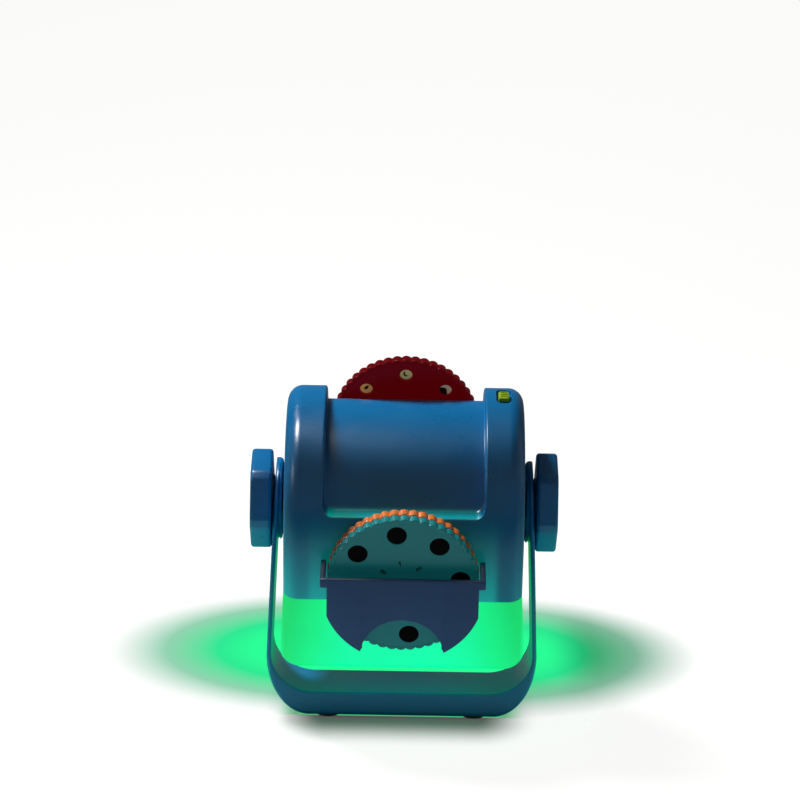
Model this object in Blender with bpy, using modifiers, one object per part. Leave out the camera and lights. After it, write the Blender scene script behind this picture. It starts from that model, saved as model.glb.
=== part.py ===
"""A child's slide projector: a drum-topped head hung by two clamping knobs in a U stand.

The head tilts between the arms of the stand. Picture discs stand in a slot in its top and in a
half-round pocket on its back, and its lower part is a milky tub lit from inside.

Metres, +Z up. The lens looks along +Y, and the origin is on the floor under the pivot. Pieces of
the head are modelled with the lens level and hang from an empty on the pivot, which tilts them.
"""

import math

import bmesh
import bpy
from mathutils import Matrix, Vector

MM = 0.001

# Gaps between pieces
TOUCH = 0.3 * MM
OVERRUN = 2.0 * MM
WELD = 0.01 * MM
FLAT = math.radians(0.05)

# Head: a box with a half-round top, seen from the side
PIVOT_HEIGHT = 100.0 * MM
HEAD_TILT = math.radians(17.4)
HEAD_RADIUS = 53.0 * MM
DECK_WIDTH = 73.0 * MM
CHEEK_WIDTH = 18.1 * MM
HEAD_WIDTH = DECK_WIDTH + 2.0 * CHEEK_WIDTH
HEAD_WALL = 2.2 * MM
SIDE_FILLET = 7.0 * MM
SHELL_DROP = 22.0 * MM
SPLIT_Y = 24.7 * MM
HEAD_ARC_STEPS = 24
FILLET_STEPS = 3

# Deck: the scooped part between the two cheeks
DECK_SCOOP = 6.1 * MM
DECK_RADIUS = HEAD_RADIUS - DECK_SCOOP
DECK_REAR_LEDGE = 19.4 * MM
DECK_FRONT_LEDGE = 24.0 * MM
DECK_CORNER = 4.5 * MM

# Stand: a U-shaped strip
BOSS_GAP = 1.8 * MM
BOSS_DEPTH = 3.7 * MM
BOSS_INNER_X = HEAD_WIDTH / 2.0 + BOSS_GAP
BOSS_RADIUS = 18.6 * MM
ARM_OUTER_X = BOSS_INNER_X + BOSS_DEPTH
ARM_SPLAY = math.radians(2.2)
ARM_THICKNESS = 2.0 * MM
STRIP_DEPTH = 38.4 * MM
BAR_HEIGHT = 11.3 * MM
CORNER_RISE = 29.0 * MM
CORNER_REACH = 20.0 * MM
INNER_CORNER_RISE = 18.3 * MM
STRIP_EDGE = 0.7 * MM
BOSS_EDGE = 0.9 * MM
CORNER_STEPS = 7
BOSS_STEPS = 28

# Rubber feet under the bar
FOOT_RADIUS = 5.0 * MM
FOOT_STANDS = 1.0 * MM
FOOT_SUNK = 1.0 * MM
FOOT_INSET = 20.6 * MM
FOOT_X = HEAD_WIDTH / 2.0 - FOOT_INSET
FOOT_Y = 12.5 * MM
FOOT_STEPS = 20

# Clamping knobs: hexagons with cut corners
KNOB_LONG_FLAT = 18.5 * MM
KNOB_SHORT_FLAT = 5.0 * MM
KNOB_THICKNESS = 9.8 * MM
KNOB_EDGE = 1.4 * MM
KNOB_TURN = math.radians(-10.0)
KNOB_DISH_RADIUS = 13.0 * MM
KNOB_DISH_DEPTH = 1.6 * MM
COLLAR_RADIUS = 11.6 * MM
COLLAR_LENGTH = 0.8 * MM

# Pivot: bolts moulded in the knobs, inserts in the head, washers between
BOLT_RADIUS = 2.5 * MM
BOLT_CLEARANCE = 0.4 * MM
BOLT_IN_KNOB = 6.0 * MM
BOLT_REACH = 17.0 * MM
BOLT_STEPS = 16
INSERT_RADIUS = 4.5 * MM
INSERT_LENGTH = 11.6 * MM
HUB_RADIUS = 9.0 * MM
WASHER_RADIUS = 13.3 * MM
WASHER_STEPS = 28

# Picture discs
DISC_RADIUS = 34.5 * MM
DISC_THICKNESS = 4.6 * MM
DISC_BUMPS = 48
BUMP_DEPTH = 1.0 * MM
DISC_RIM = 2.4 * MM
DISC_FACE_SUNK = 0.3 * MM
WINDOWS = 8
WINDOW_RADIUS = 4.2 * MM
WINDOW_CIRCLE = 26.1 * MM
WINDOW_STEPS = 10
FILM_RADIUS = 30.6 * MM
FILM_THICKNESS = 0.25 * MM
FACE_STEPS = 32
FILM_STEPS = 24
BUMP_STEPS = 3
DISC_MID_Y = 27.5 * MM
ORANGE_TURN = math.radians(15.0)
TEAL_TURN = math.radians(-6.8)
SLOT_CLEARANCE = 0.4 * MM

# Storage pocket on the back
POCKET_CENTRE_Z = -8.0 * MM
POCKET_ARC_WALL = 1.6 * MM
POCKET_RADIUS = DISC_RADIUS + TOUCH + POCKET_ARC_WALL
POCKET_SIDE_INSET = 2.2 * MM
POCKET_SIDE_X = POCKET_RADIUS - POCKET_SIDE_INSET
POCKET_EAR_PROUD = 0.8 * MM
POCKET_EAR_X = POCKET_RADIUS + POCKET_EAR_PROUD
POCKET_TOP_RISE = 7.2 * MM
POCKET_EAR_DROP = 4.7 * MM
POCKET_EAR_SLOPE = 0.6 * MM
POCKET_WALL = 2.2 * MM
POCKET_PLACES = 3
NOTCH_RADIUS = 18.9 * MM
NOTCH_DROP = 33.0 * MM
POCKET_ARC_STEPS = 8

# Diffuser tub
DIFFUSER_BOTTOM = -60.0 * MM
DIFFUSER_FLARE = 2.3 * MM
DIFFUSER_WALL = 2.0 * MM
DIFFUSER_EDGE = 4.0 * MM
LIP_HEIGHT = 3.2 * MM
LIP_THICKNESS = 1.5 * MM
LIP_ROOT = 1.5 * MM
BOARD_POST_RADIUS = 3.0 * MM
BOARD_POST_INSET_X = 16.6 * MM
BOARD_POST_INSET_Y = 19.0 * MM
BOARD_POST_X = HEAD_WIDTH / 2.0 - BOARD_POST_INSET_X
BOARD_POST_Y = HEAD_RADIUS - BOARD_POST_INSET_Y

# Batteries
CELL_RADIUS = 5.2 * MM
CELL_LENGTH = 44.4 * MM
CELL_CAP_RADIUS = 1.9 * MM
CELL_CAP_LENGTH = 0.8 * MM
CELLS = 3
CELL_PITCH = 11.8 * MM
CELL_STEPS = 16
BATTERY_WALL = 1.5 * MM
BATTERY_END_ROOM = 3.3 * MM
CONTACT_THICKNESS = 0.5 * MM
CONTACT_WIDTH = 8.0 * MM
CONTACT_BUMP = 1.3 * MM
COVER_TAB = 7.4 * MM
COVER_SCREW_INSET = 3.9 * MM

# Circuit boards
BOARD_THICKNESS = 1.6 * MM
NIGHT_BOARD_TOP = -25.8 * MM
NIGHT_BOARD_INSET_X = 10.6 * MM
NIGHT_BOARD_INSET_Y = 13.0 * MM
NIGHT_BOARD_X = HEAD_WIDTH / 2.0 - NIGHT_BOARD_INSET_X
NIGHT_BOARD_Y = HEAD_RADIUS - NIGHT_BOARD_INSET_Y
NIGHT_BOARD_HOLE_X = 15.0 * MM
NIGHT_BOARD_HOLE_Y = 10.0 * MM
LED_SIZE = 3.2 * MM
LED_HEIGHT = 1.6 * MM
LED_X = 30.0 * MM
LED_Y = 24.0 * MM
MAIN_BOARD_Y = -31.4 * MM
MAIN_BOARD_X = 34.0 * MM
MAIN_BOARD_LOW = -17.0 * MM
MAIN_BOARD_HIGH = 14.0 * MM
MAIN_POST_X = 28.0 * MM
MAIN_POST_INSET = 4.5 * MM
CHIP_X = 11.0 * MM
CHIP_Z = 8.0 * MM
CHIP_HEIGHT = 1.6 * MM
CAPACITOR_RADIUS = 3.0 * MM
CAPACITOR_LENGTH = 7.0 * MM
CAPACITOR_X = 20.0 * MM

# Lamp and condenser
TUBE_RADIUS = 14.0 * MM
TUBE_BORE = 11.6 * MM
TUBE_REAR = -13.0 * MM
TUBE_FLANGE_RADIUS = 16.5 * MM
TUBE_FLANGE = 1.6 * MM
LAMP_BOARD_REAR = -12.0 * MM
LAMP_BASE_RADIUS = 3.4 * MM
LAMP_BASE_HEIGHT = 1.0 * MM
LAMP_RADIUS = 2.5 * MM
LAMP_LENGTH = 3.0 * MM
CONDENSER_REAR = 6.0 * MM
CONDENSER_EDGE = 1.6 * MM
CONDENSER_BULGE = 5.5 * MM
LENS_STEPS = 24
LENS_RINGS = 4

# Guide for the disc in use
GUIDE_WALL = 1.7 * MM
GUIDE_RIM = 2.2 * MM
GUIDE_TOP = 30.0 * MM
GATE_RADIUS = 5.0 * MM
WING_LOW = 0.0
WING_HIGH = 20.0 * MM
GUIDE_STEPS = 20
SPRING_THICKNESS = 0.4 * MM
SPRING_REACH = 14.0 * MM
SPRING_WIDTH = 3.0 * MM
NUB_RADIUS = 1.2 * MM

# Lens barrel, focus ring and the boss that carries them
LENS_BOSS_RADIUS = 21.4 * MM
LENS_BOSS_ROOT = 12.0 * MM
BARREL_RADIUS = 16.2 * MM
BARREL_BORE = 13.8 * MM
BARREL_INSIDE = 17.0 * MM
BARREL_OUTSIDE = 13.0 * MM
BARREL_REAR = HEAD_RADIUS - BARREL_INSIDE
BARREL_FRONT = HEAD_RADIUS + BARREL_OUTSIDE
GUIDE_TUBE_WALL = 2.2 * MM
GUIDE_TUBE_INSIDE = 20.0 * MM
GUIDE_TUBE_REAR = HEAD_RADIUS - GUIDE_TUBE_INSIDE
GUIDE_TUBE_NOSE = 5.0 * MM
RING_RADIUS = 24.5 * MM
RING_LENGTH = 9.2 * MM
RING_LOBES = 24
LOBE_DEPTH = 0.9 * MM
OBJECTIVE_EDGE = 2.0 * MM
OBJECTIVE_BULGE = 2.2 * MM
REAR_OBJECTIVE_INSET = 3.0 * MM
FRONT_OBJECTIVE_INSET = 9.0 * MM
RETAINER_INSET = 4.0 * MM
REAR_OBJECTIVE_Y = BARREL_REAR + REAR_OBJECTIVE_INSET
FRONT_OBJECTIVE_Y = BARREL_FRONT - FRONT_OBJECTIVE_INSET
RETAINER_Y = BARREL_FRONT - RETAINER_INSET
RETAINER_LENGTH = 2.0 * MM
RETAINER_BORE = 11.6 * MM
ROUND_STEPS = 32

# Slide switch on the right cheek
SWITCH_OFF_MIDDLE = 0.35 * MM
SWITCH_X = (DECK_WIDTH + CHEEK_WIDTH) / 2.0 - SWITCH_OFF_MIDDLE
SWITCH_FORWARD = math.radians(8.2)
SWITCH_WELL_LENGTH = 17.0 * MM
SWITCH_WELL_WIDTH = 7.2 * MM
SWITCH_WELL_DEPTH = 1.9 * MM
SLIDER_LENGTH = 9.6 * MM
SLIDER_WIDTH = 5.3 * MM
SLIDER_PROUD = 0.7 * MM
SLIDER_EDGE = 0.6 * MM
STEM_LENGTH = 4.0 * MM
STEM_WIDTH = 2.6 * MM
SWITCH_TRAVEL = 3.0 * MM
SWITCH_BODY_LENGTH = 16.0 * MM
SWITCH_BODY_WIDTH = 7.0 * MM
SWITCH_BODY_HEIGHT = 5.2 * MM

# Screws that join the shells
SCREW_INSET = 5.8 * MM
SCREW_X = HEAD_WIDTH / 2.0 - SCREW_INSET
SCREW_LOW = -14.0 * MM
SCREW_HIGH_DROP = 19.0 * MM
SCREW_HIGH = HEAD_RADIUS - SCREW_HIGH_DROP
SCREW_SEAT_Y = 31.0 * MM
SCREW_HEAD_RADIUS = 3.0 * MM
SCREW_HEAD_HEIGHT = 2.0 * MM
SCREW_RADIUS = 1.4 * MM
SCREW_BITE = 14.0 * MM
SCREW_POST_RADIUS = 4.2 * MM
SCREW_STEPS = 14

# Turning a solid built along Z so that it lies along X or Y
ALONG_X = Matrix(((0, 0, 1, 0), (1, 0, 0, 0), (0, 1, 0, 0), (0, 0, 0, 1)))
ALONG_Y = Matrix(((1, 0, 0, 0), (0, 0, 1, 0), (0, -1, 0, 0), (0, 0, 0, 1)))
FACING_Y = Matrix(((1, 0, 0, 0), (0, 0, -1, 0), (0, 1, 0, 0), (0, 0, 0, 1)))
UPRIGHT = Matrix.Identity(4)


def clear_scene():
    """Remove every object of the open scene."""
    for old in list(bpy.data.objects):
        bpy.data.objects.remove(old, do_unlink=True)


def new_collection(name):
    """Make a collection under the scene's own."""
    made = bpy.data.collections.new(name)
    bpy.context.scene.collection.children.link(made)
    return made


def linear(value):
    """One sRGB channel, 0 to 255, as a linear value."""
    share = value / 255.0
    return share / 12.92 if share <= 0.04045 else ((share + 0.055) / 1.055) ** 2.4


def material(name, rgb, roughness, metallic=0.0, glow=0.0):
    """A Principled material from an sRGB colour."""
    made = bpy.data.materials.new(name)
    made.use_nodes = True
    shader = made.node_tree.nodes["Principled BSDF"]
    colour = [linear(channel) for channel in rgb] + [1.0]
    shader.inputs["Base Color"].default_value = colour
    shader.inputs["Roughness"].default_value = roughness
    shader.inputs["Metallic"].default_value = metallic
    shader.inputs["Emission Color"].default_value = colour
    shader.inputs["Emission Strength"].default_value = glow
    made.diffuse_color = colour
    return made


clear_scene()
PARTS = new_collection("light_projector")
CUTTERS = new_collection("cutters")

BLUE = material("blue_plastic", (0, 96, 165), 0.35)
NAVY = material("navy_plastic", (24, 54, 120), 0.4)
LIME = material("lime_plastic", (150, 205, 40), 0.4)
RED = material("red_plastic", (170, 16, 32), 0.4)
ORANGE = material("orange_plastic", (236, 120, 50), 0.4)
TEAL = material("teal_plastic", (40, 150, 150), 0.4)
FILM = material("film", (30, 30, 34), 0.2)
MILKY = material("milky_plastic", (60, 235, 130), 0.5, glow=1.0)
BLACK = material("black_plastic", (28, 28, 30), 0.5)
RUBBER = material("rubber", (40, 40, 42), 0.8)
STEEL = material("steel", (170, 172, 176), 0.3, metallic=1.0)
BRASS = material("brass", (190, 150, 70), 0.35, metallic=1.0)
BOARD_GREEN = material("circuit_board", (20, 90, 50), 0.5)
GLASS = material("lens_acrylic", (220, 235, 240), 0.05)
CELL_WRAP = material("cell_wrap", (60, 70, 90), 0.35)
LAMP_WHITE = material("lamp_resin", (245, 240, 215), 0.2, glow=1.0)


def empty(name, location, tilt, parent=None):
    """An empty that carries other objects, turned about X."""
    made = bpy.data.objects.new(name, None)
    made.location = location
    made.rotation_euler = (tilt, 0.0, 0.0)
    made.parent = parent
    CUTTERS.objects.link(made)
    return made


HEAD = empty("head_axis", (0.0, 0.0, PIVOT_HEIGHT), HEAD_TILT)
SWITCH_FRAME = empty("switch_frame", (SWITCH_X, 0.0, 0.0), -SWITCH_FORWARD, HEAD)


def add_object(name, form, parent, place=(0.0, 0.0, 0.0)):
    """Make an object of a bmesh, smooth-shaded, as a cutter until it is dressed."""
    mesh = bpy.data.meshes.new(name)
    bmesh.ops.recalc_face_normals(form, faces=form.faces)
    form.to_mesh(mesh)
    form.free()
    made = bpy.data.objects.new(name, mesh)
    made.parent = parent
    made.location = place
    made.hide_render = True
    made.display_type = "WIRE"
    CUTTERS.objects.link(made)
    return made


def flattened(piece):
    """Join the coplanar faces that cuts have split, and drop the points left on straight edges."""
    form = bmesh.new()
    form.from_mesh(piece.data)
    bmesh.ops.dissolve_limit(form, angle_limit=FLAT, use_dissolve_boundaries=False,
                             verts=form.verts, edges=form.edges, delimit=set())
    bmesh.ops.dissolve_degenerate(form, dist=WELD, edges=form.edges)
    form.to_mesh(piece.data)
    form.free()
    return piece


def dress(piece, finish):
    """Turn a solid into one of the object's own pieces."""
    CUTTERS.objects.unlink(piece)
    PARTS.objects.link(piece)
    piece.hide_render = False
    piece.display_type = "TEXTURED"
    piece.data.materials.clear()
    piece.data.materials.append(finish)
    piece.data.shade_smooth()
    piece.data.set_sharp_from_angle(angle=math.radians(35.0))
    return piece


def boolean(piece, other, operation="DIFFERENCE"):
    """Cut, join or intersect a piece with another solid."""
    step = piece.modifiers.new(other.name, "BOOLEAN")
    step.operation = operation
    step.object = other
    step.solver = "EXACT"
    return piece


def frozen(piece):
    """Give a piece the mesh that its modifiers make, and drop the modifiers."""
    bpy.context.view_layer.update()
    graph = bpy.context.evaluated_depsgraph_get()
    mesh = bpy.data.meshes.new_from_object(piece.evaluated_get(graph))
    piece.modifiers.clear()
    piece.data = mesh
    return piece


def cut_out(piece):
    """A piece with its cuts made and its flat faces whole."""
    return flattened(frozen(piece))


def box(name, low, high, parent):
    """A box between two corners."""
    form = bmesh.new()
    bmesh.ops.create_cube(form, size=1.0)
    low, high = Vector(low), Vector(high)
    size = high - low
    bmesh.ops.scale(form, vec=size, verts=form.verts)
    bmesh.ops.translate(form, vec=(low + high) / 2.0, verts=form.verts)
    return add_object(name, form, parent)


def rod(name, radius, start, end, axis, place, parent, steps=ROUND_STEPS, tip=None):
    """A round bar from start to end along an axis through a place, or a cone to a tip radius."""
    form = bmesh.new()
    bmesh.ops.create_cone(form, cap_ends=True, segments=steps, radius1=radius,
                          radius2=radius if tip is None else tip, depth=abs(end - start))
    bmesh.ops.translate(form, vec=(0.0, 0.0, (start + end) / 2.0), verts=form.verts)
    bmesh.ops.transform(form, matrix=axis, verts=form.verts)
    return add_object(name, form, parent, place)


def outline_form(outlines, thickness, axis):
    """Extrude flat closed outlines, the first one solid and the rest holes, as a bmesh."""
    curve = bpy.data.curves.new("outline", "CURVE")
    curve.dimensions = "2D"
    curve.fill_mode = "BOTH"
    curve.extrude = thickness / 2.0
    for points in outlines:
        spline = curve.splines.new("POLY")
        spline.points.add(len(points) - 1)
        for spot, (across, up) in zip(spline.points, points):
            spot.co = (across, up, 0.0, 1.0)
        spline.use_cyclic_u = True
    carrier = bpy.data.objects.new("outline", curve)
    CUTTERS.objects.link(carrier)
    bpy.context.view_layer.update()
    graph = bpy.context.evaluated_depsgraph_get()
    mesh = bpy.data.meshes.new_from_object(carrier.evaluated_get(graph))
    form = bmesh.new()
    form.from_mesh(mesh)
    bmesh.ops.remove_doubles(form, verts=form.verts, dist=WELD)
    bmesh.ops.transform(form, matrix=axis, verts=form.verts)
    bpy.data.objects.remove(carrier)
    bpy.data.curves.remove(curve)
    bpy.data.meshes.remove(mesh)
    return form


def slab(name, outlines, thickness, axis, place, parent):
    """A flat piece: outlines extruded by a thickness about a place."""
    return add_object(name, outline_form(outlines, thickness, axis), parent, place)


def turned(name, profile, axis, place, parent, steps=ROUND_STEPS):
    """Turn a closed profile of (radius, height) points about an axis with a Screw modifier."""
    form = bmesh.new()
    spots = [form.verts.new((radius, 0.0, height)) for radius, height in profile]
    closed = all(radius > 0.0 for radius, _ in profile)
    pairs = list(zip(spots, spots[1:] + spots[:1]))
    for first, second in pairs if closed else pairs[:-1]:
        form.edges.new((first, second))
    mesh = bpy.data.meshes.new(name)
    form.to_mesh(mesh)
    form.free()
    carrier = bpy.data.objects.new(name, mesh)
    CUTTERS.objects.link(carrier)
    screw = carrier.modifiers.new("turn", "SCREW")
    screw.steps = steps
    screw.render_steps = steps
    screw.use_merge_vertices = True
    screw.merge_threshold = WELD
    frozen(carrier)
    form = bmesh.new()
    form.from_mesh(carrier.data)
    bmesh.ops.remove_doubles(form, verts=form.verts, dist=WELD)
    bmesh.ops.transform(form, matrix=axis, verts=form.verts)
    bpy.data.objects.remove(carrier)
    return add_object(name, form, parent, place)


def arc(radius, start, end, steps, centre=(0.0, 0.0), rise=None):
    """Points on an arc from one angle to another, or on an ellipse with its own rise."""
    tall = radius if rise is None else rise
    angles = [start + (end - start) * step / steps for step in range(steps + 1)]
    return [(centre[0] + radius * math.cos(a), centre[1] + tall * math.sin(a)) for a in angles]


def ring(radius, steps, centre=(0.0, 0.0)):
    """Points round a full circle."""
    return arc(radius, 0.0, math.tau, steps, centre)[:-1]


def bevel_edges(form, chosen, width, steps):
    """Round the chosen edges of a bmesh."""
    bmesh.ops.bevel(form, geom=chosen, offset=width, offset_type="OFFSET", segments=steps,
                    profile=0.5, affect="EDGES", clamp_overlap=True)


def soften(piece, width, steps=2, angle=40.0):
    """Round the sharp edges of a piece with a Bevel modifier."""
    bevel = piece.modifiers.new("edge", "BEVEL")
    bevel.width = width
    bevel.segments = steps
    bevel.limit_method = "ANGLE"
    bevel.angle_limit = math.radians(angle)
    return piece


def hollow_ring(name, outer, inner, start, end, axis, place, parent, steps=ROUND_STEPS):
    """A plain tube or washer between two heights."""
    profile = [(outer, end), (outer, start), (inner, start), (inner, end)]
    return turned(name, profile, axis, place, parent, steps)


def head_form(name, inset):
    """The head's outer form, or its cavity where an inset is given.

    The side view is a half circle on straight sides, run down past the shells' lower edge. The
    edges round both side faces are filleted, all but the lowest.
    """
    radius = HEAD_RADIUS - inset
    half = HEAD_WIDTH / 2.0 - inset
    foot = -SHELL_DROP - SIDE_FILLET - OVERRUN
    side = arc(radius, 0.0, math.pi, HEAD_ARC_STEPS) + [(-radius, foot), (radius, foot)]
    form = outline_form([side], 2.0 * half, ALONG_X)
    rim = [edge for edge in form.edges
           if all(abs(abs(vert.co.x) - half) < WELD for vert in edge.verts)
           and len({face.normal.x > 0.5 or face.normal.x < -0.5 for face in edge.link_faces}) == 2
           and not all(abs(vert.co.z - foot) < WELD for vert in edge.verts)]
    bevel_edges(form, rim, SIDE_FILLET - inset, FILLET_STEPS)
    return add_object(name, form, HEAD)


def deck_form(name, inset):
    """What is scooped out between the cheeks: all outside the deck's radius and above its ledges.

    Seen from behind, the opening has straight sides and round lower corners.
    """
    radius = DECK_RADIUS - inset
    low = DECK_REAR_LEDGE - inset
    front = DECK_FRONT_LEDGE - inset
    half = DECK_WIDTH / 2.0 + inset
    corner = DECK_CORNER + inset
    reach = HEAD_RADIUS + OVERRUN
    start = math.asin(front / radius)
    end = math.pi - math.asin((low - OVERRUN) / radius)
    side = arc(radius, start, end, HEAD_ARC_STEPS) + [
        (-reach, low - OVERRUN), (-reach, reach), (reach, reach), (reach, front)]
    scoop = slab(name, [side], 2.0 * (half + OVERRUN), ALONG_X, (0.0, 0.0, 0.0), HEAD)
    opening = arc(corner, math.pi, 1.5 * math.pi, FILLET_STEPS, (corner - half, low + corner))
    opening += arc(corner, 1.5 * math.pi, math.tau, FILLET_STEPS, (half - corner, low + corner))
    opening += [(half, reach + OVERRUN), (-half, reach + OVERRUN)]
    window = slab(name + "_opening", [opening], 2.0 * (reach + OVERRUN), FACING_Y,
                  (0.0, 0.0, 0.0), HEAD)
    boolean(scoop, window, "INTERSECT")
    return cut_out(scoop)


def mirrored(make):
    """Call a maker for the left and the right side."""
    return [make(side, sign) for side, sign in (("left", -1.0), ("right", 1.0))]


def x_rod(name, radius, near, far, sign, place, parent, steps):
    """A round bar along X on one side, from its nearer to its farther end."""
    low, high = sorted((sign * near, sign * far))
    return rod(name, radius, low, high, ALONG_X, place, parent, steps)


# Stand
def build_stand():
    """The U strip with its bosses, bolt holes and foot pockets."""
    lean = math.tan(ARM_SPLAY)
    floor = FOOT_STANDS
    outer_turn = floor + CORNER_RISE
    inner_turn = floor + BAR_HEIGHT + INNER_CORNER_RISE
    top = PIVOT_HEIGHT + BOSS_RADIUS + OVERRUN
    outer_x = ARM_OUTER_X + (PIVOT_HEIGHT - outer_turn) * lean
    inner_x = ARM_OUTER_X - ARM_THICKNESS + (PIVOT_HEIGHT - inner_turn) * lean
    top_x = ARM_OUTER_X - (top - PIVOT_HEIGHT) * lean
    outer = arc(CORNER_REACH, 0.0, -math.pi / 2.0, CORNER_STEPS,
                (outer_x - CORNER_REACH, outer_turn), CORNER_RISE)
    inner = arc(CORNER_REACH, -math.pi / 2.0, 0.0, CORNER_STEPS,
                (inner_x - CORNER_REACH, inner_turn), INNER_CORNER_RISE)
    right_out = [(top_x, top)] + outer
    right_in = inner + [(top_x - ARM_THICKNESS, top)]
    left_out = [(-x, z) for x, z in reversed(right_out)]
    left_in = [(-x, z) for x, z in reversed(right_in)]
    strip = slab("stand", [right_out + left_out + left_in + right_in], STRIP_DEPTH,
                 FACING_Y, (0.0, 0.0, 0.0), None)
    soften(strip, STRIP_EDGE)
    frozen(strip)
    half = STRIP_DEPTH / 2.0
    side = arc(half, 0.0, math.pi, BOSS_STEPS // 2, (0.0, PIVOT_HEIGHT))
    side += [(-half - OVERRUN, PIVOT_HEIGHT - BOSS_RADIUS), (-half - OVERRUN, -OVERRUN),
             (half + OVERRUN, -OVERRUN), (half + OVERRUN, PIVOT_HEIGHT - BOSS_RADIUS)]
    rounding = slab("stand_side", [side], 2.0 * (outer_x + OVERRUN), ALONG_X,
                    (0.0, 0.0, 0.0), None)
    boolean(strip, rounding, "INTERSECT")

    def boss(side_name, sign):
        solid = x_rod("boss_" + side_name, BOSS_RADIUS, BOSS_INNER_X,
                      ARM_OUTER_X - ARM_THICKNESS / 2.0, sign, (0.0, 0.0, PIVOT_HEIGHT), None,
                      BOSS_STEPS)
        soften(solid, BOSS_EDGE)
        boolean(strip, frozen(solid), "UNION")
        hole = x_rod("boss_hole_" + side_name, BOLT_RADIUS + BOLT_CLEARANCE,
                     BOSS_INNER_X - OVERRUN, ARM_OUTER_X + OVERRUN, sign,
                     (0.0, 0.0, PIVOT_HEIGHT), None, BOLT_STEPS)
        boolean(strip, hole)
        seat = x_rod("knob_seat_" + side_name, COLLAR_RADIUS + TOUCH, ARM_OUTER_X,
                     ARM_OUTER_X + OVERRUN, sign, (0.0, 0.0, PIVOT_HEIGHT), None, WASHER_STEPS)
        boolean(strip, seat)

    mirrored(boss)
    for across in (-FOOT_X, FOOT_X):
        for along in (-FOOT_Y, FOOT_Y):
            pocket = rod("foot_pocket", FOOT_RADIUS + TOUCH, 0.0,
                         FOOT_STANDS + FOOT_SUNK + TOUCH, UPRIGHT, (across, along, 0.0), None,
                         FOOT_STEPS)
            boolean(strip, pocket)
    frozen(strip)
    return dress(strip, BLUE)


def build_feet():
    """Four round rubber pads, set in their pockets."""
    for side, across in (("left", -FOOT_X), ("right", FOOT_X)):
        for end, along in (("rear", -FOOT_Y), ("front", FOOT_Y)):
            pad = rod("stand_foot_%s_%s" % (end, side), FOOT_RADIUS, 0.0,
                      FOOT_STANDS + FOOT_SUNK, UPRIGHT, (across, along, 0.0), None, FOOT_STEPS)
            dress(pad, RUBBER)


# Knobs and pivots
def knob_outline():
    """A hexagon with cut corners: long and short flats in turn, each 30 degrees on."""
    reach = (KNOB_LONG_FLAT + 2.0 * KNOB_SHORT_FLAT / math.sqrt(3.0)) * math.sqrt(3.0) / 2.0
    skew = math.atan2(KNOB_LONG_FLAT / 2.0, reach)
    spots = []
    for flat in range(6):
        facing = KNOB_TURN - HEAD_TILT + math.pi + flat * math.pi / 3.0
        for edge in (-skew, skew):
            spots.append((facing + edge, math.hypot(reach, KNOB_LONG_FLAT / 2.0)))
    return [(radius * math.cos(angle), radius * math.sin(angle)) for angle, radius in spots]


def build_knob(side, sign):
    """One clamping knob with its collar, its dished outer face and the bolt's bore."""
    inner = ARM_OUTER_X + TOUCH + COLLAR_LENGTH
    outer = inner + KNOB_THICKNESS
    middle = sign * (inner + outer) / 2.0
    knob = slab("knob_" + side, [knob_outline()], KNOB_THICKNESS, ALONG_X, (0.0, 0.0, 0.0), HEAD)
    soften(knob, KNOB_EDGE, angle=50.0)
    frozen(knob)
    knob.data.transform(Matrix.Translation((middle, 0.0, 0.0)))
    here = (0.0, 0.0, 0.0)
    collar = x_rod("collar_" + side, COLLAR_RADIUS, ARM_OUTER_X + TOUCH, inner + OVERRUN, sign,
                   here, HEAD, WASHER_STEPS)
    boolean(knob, collar, "UNION")
    dish = x_rod("dish_" + side, KNOB_DISH_RADIUS, outer - KNOB_DISH_DEPTH, outer + OVERRUN, sign,
                 here, HEAD, WASHER_STEPS)
    boolean(knob, dish)
    bore = x_rod("knob_bore_" + side, BOLT_RADIUS + TOUCH, ARM_OUTER_X - OVERRUN,
                 inner + BOLT_IN_KNOB + TOUCH, sign, here, HEAD, BOLT_STEPS)
    boolean(knob, bore)
    return dress(cut_out(knob), BLUE)


def build_pivot(side, sign):
    """The bolt, the threaded insert and the washer of one side."""
    here = (0.0, 0.0, 0.0)
    knob_inner = ARM_OUTER_X + TOUCH + COLLAR_LENGTH
    bolt = x_rod("pivot_bolt_" + side, BOLT_RADIUS, knob_inner - BOLT_REACH,
                 knob_inner + BOLT_IN_KNOB, sign, here, HEAD, BOLT_STEPS)
    dress(bolt, STEEL)
    wall_inner = HEAD_WIDTH / 2.0 - HEAD_WALL
    near, far = wall_inner - TOUCH - INSERT_LENGTH, wall_inner - TOUCH
    low, high = sorted((sign * near, sign * far))
    insert = hollow_ring("pivot_insert_" + side, INSERT_RADIUS, BOLT_RADIUS + TOUCH, low, high,
                         ALONG_X, here, HEAD, BOLT_STEPS)
    dress(insert, BRASS)
    low, high = sorted((sign * (HEAD_WIDTH / 2.0 + TOUCH), sign * (BOSS_INNER_X - TOUCH)))
    washer = hollow_ring("tilt_washer_" + side, WASHER_RADIUS, BOLT_RADIUS + BOLT_CLEARANCE,
                         low, high, ALONG_X, here, HEAD, WASHER_STEPS)
    dress(washer, RUBBER)


# Shells
def shell_blank(name):
    """The head's form, hollowed, with the deck scooped out, open below the shells' lower edge."""
    shell = head_form(name, 0.0)
    cavity = head_form(name + "_cavity", HEAD_WALL)
    boolean(cavity, deck_form(name + "_deck_back", HEAD_WALL))
    boolean(cavity, switch_pad(name + "_pad"))
    boolean(shell, frozen(cavity))
    boolean(shell, deck_form(name + "_deck", 0.0))
    reach = HEAD_WIDTH / 2.0 + OVERRUN
    below = box(name + "_below", (-reach, -reach, -reach), (reach, reach, -SHELL_DROP), HEAD)
    boolean(shell, below)
    return frozen(shell)


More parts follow.
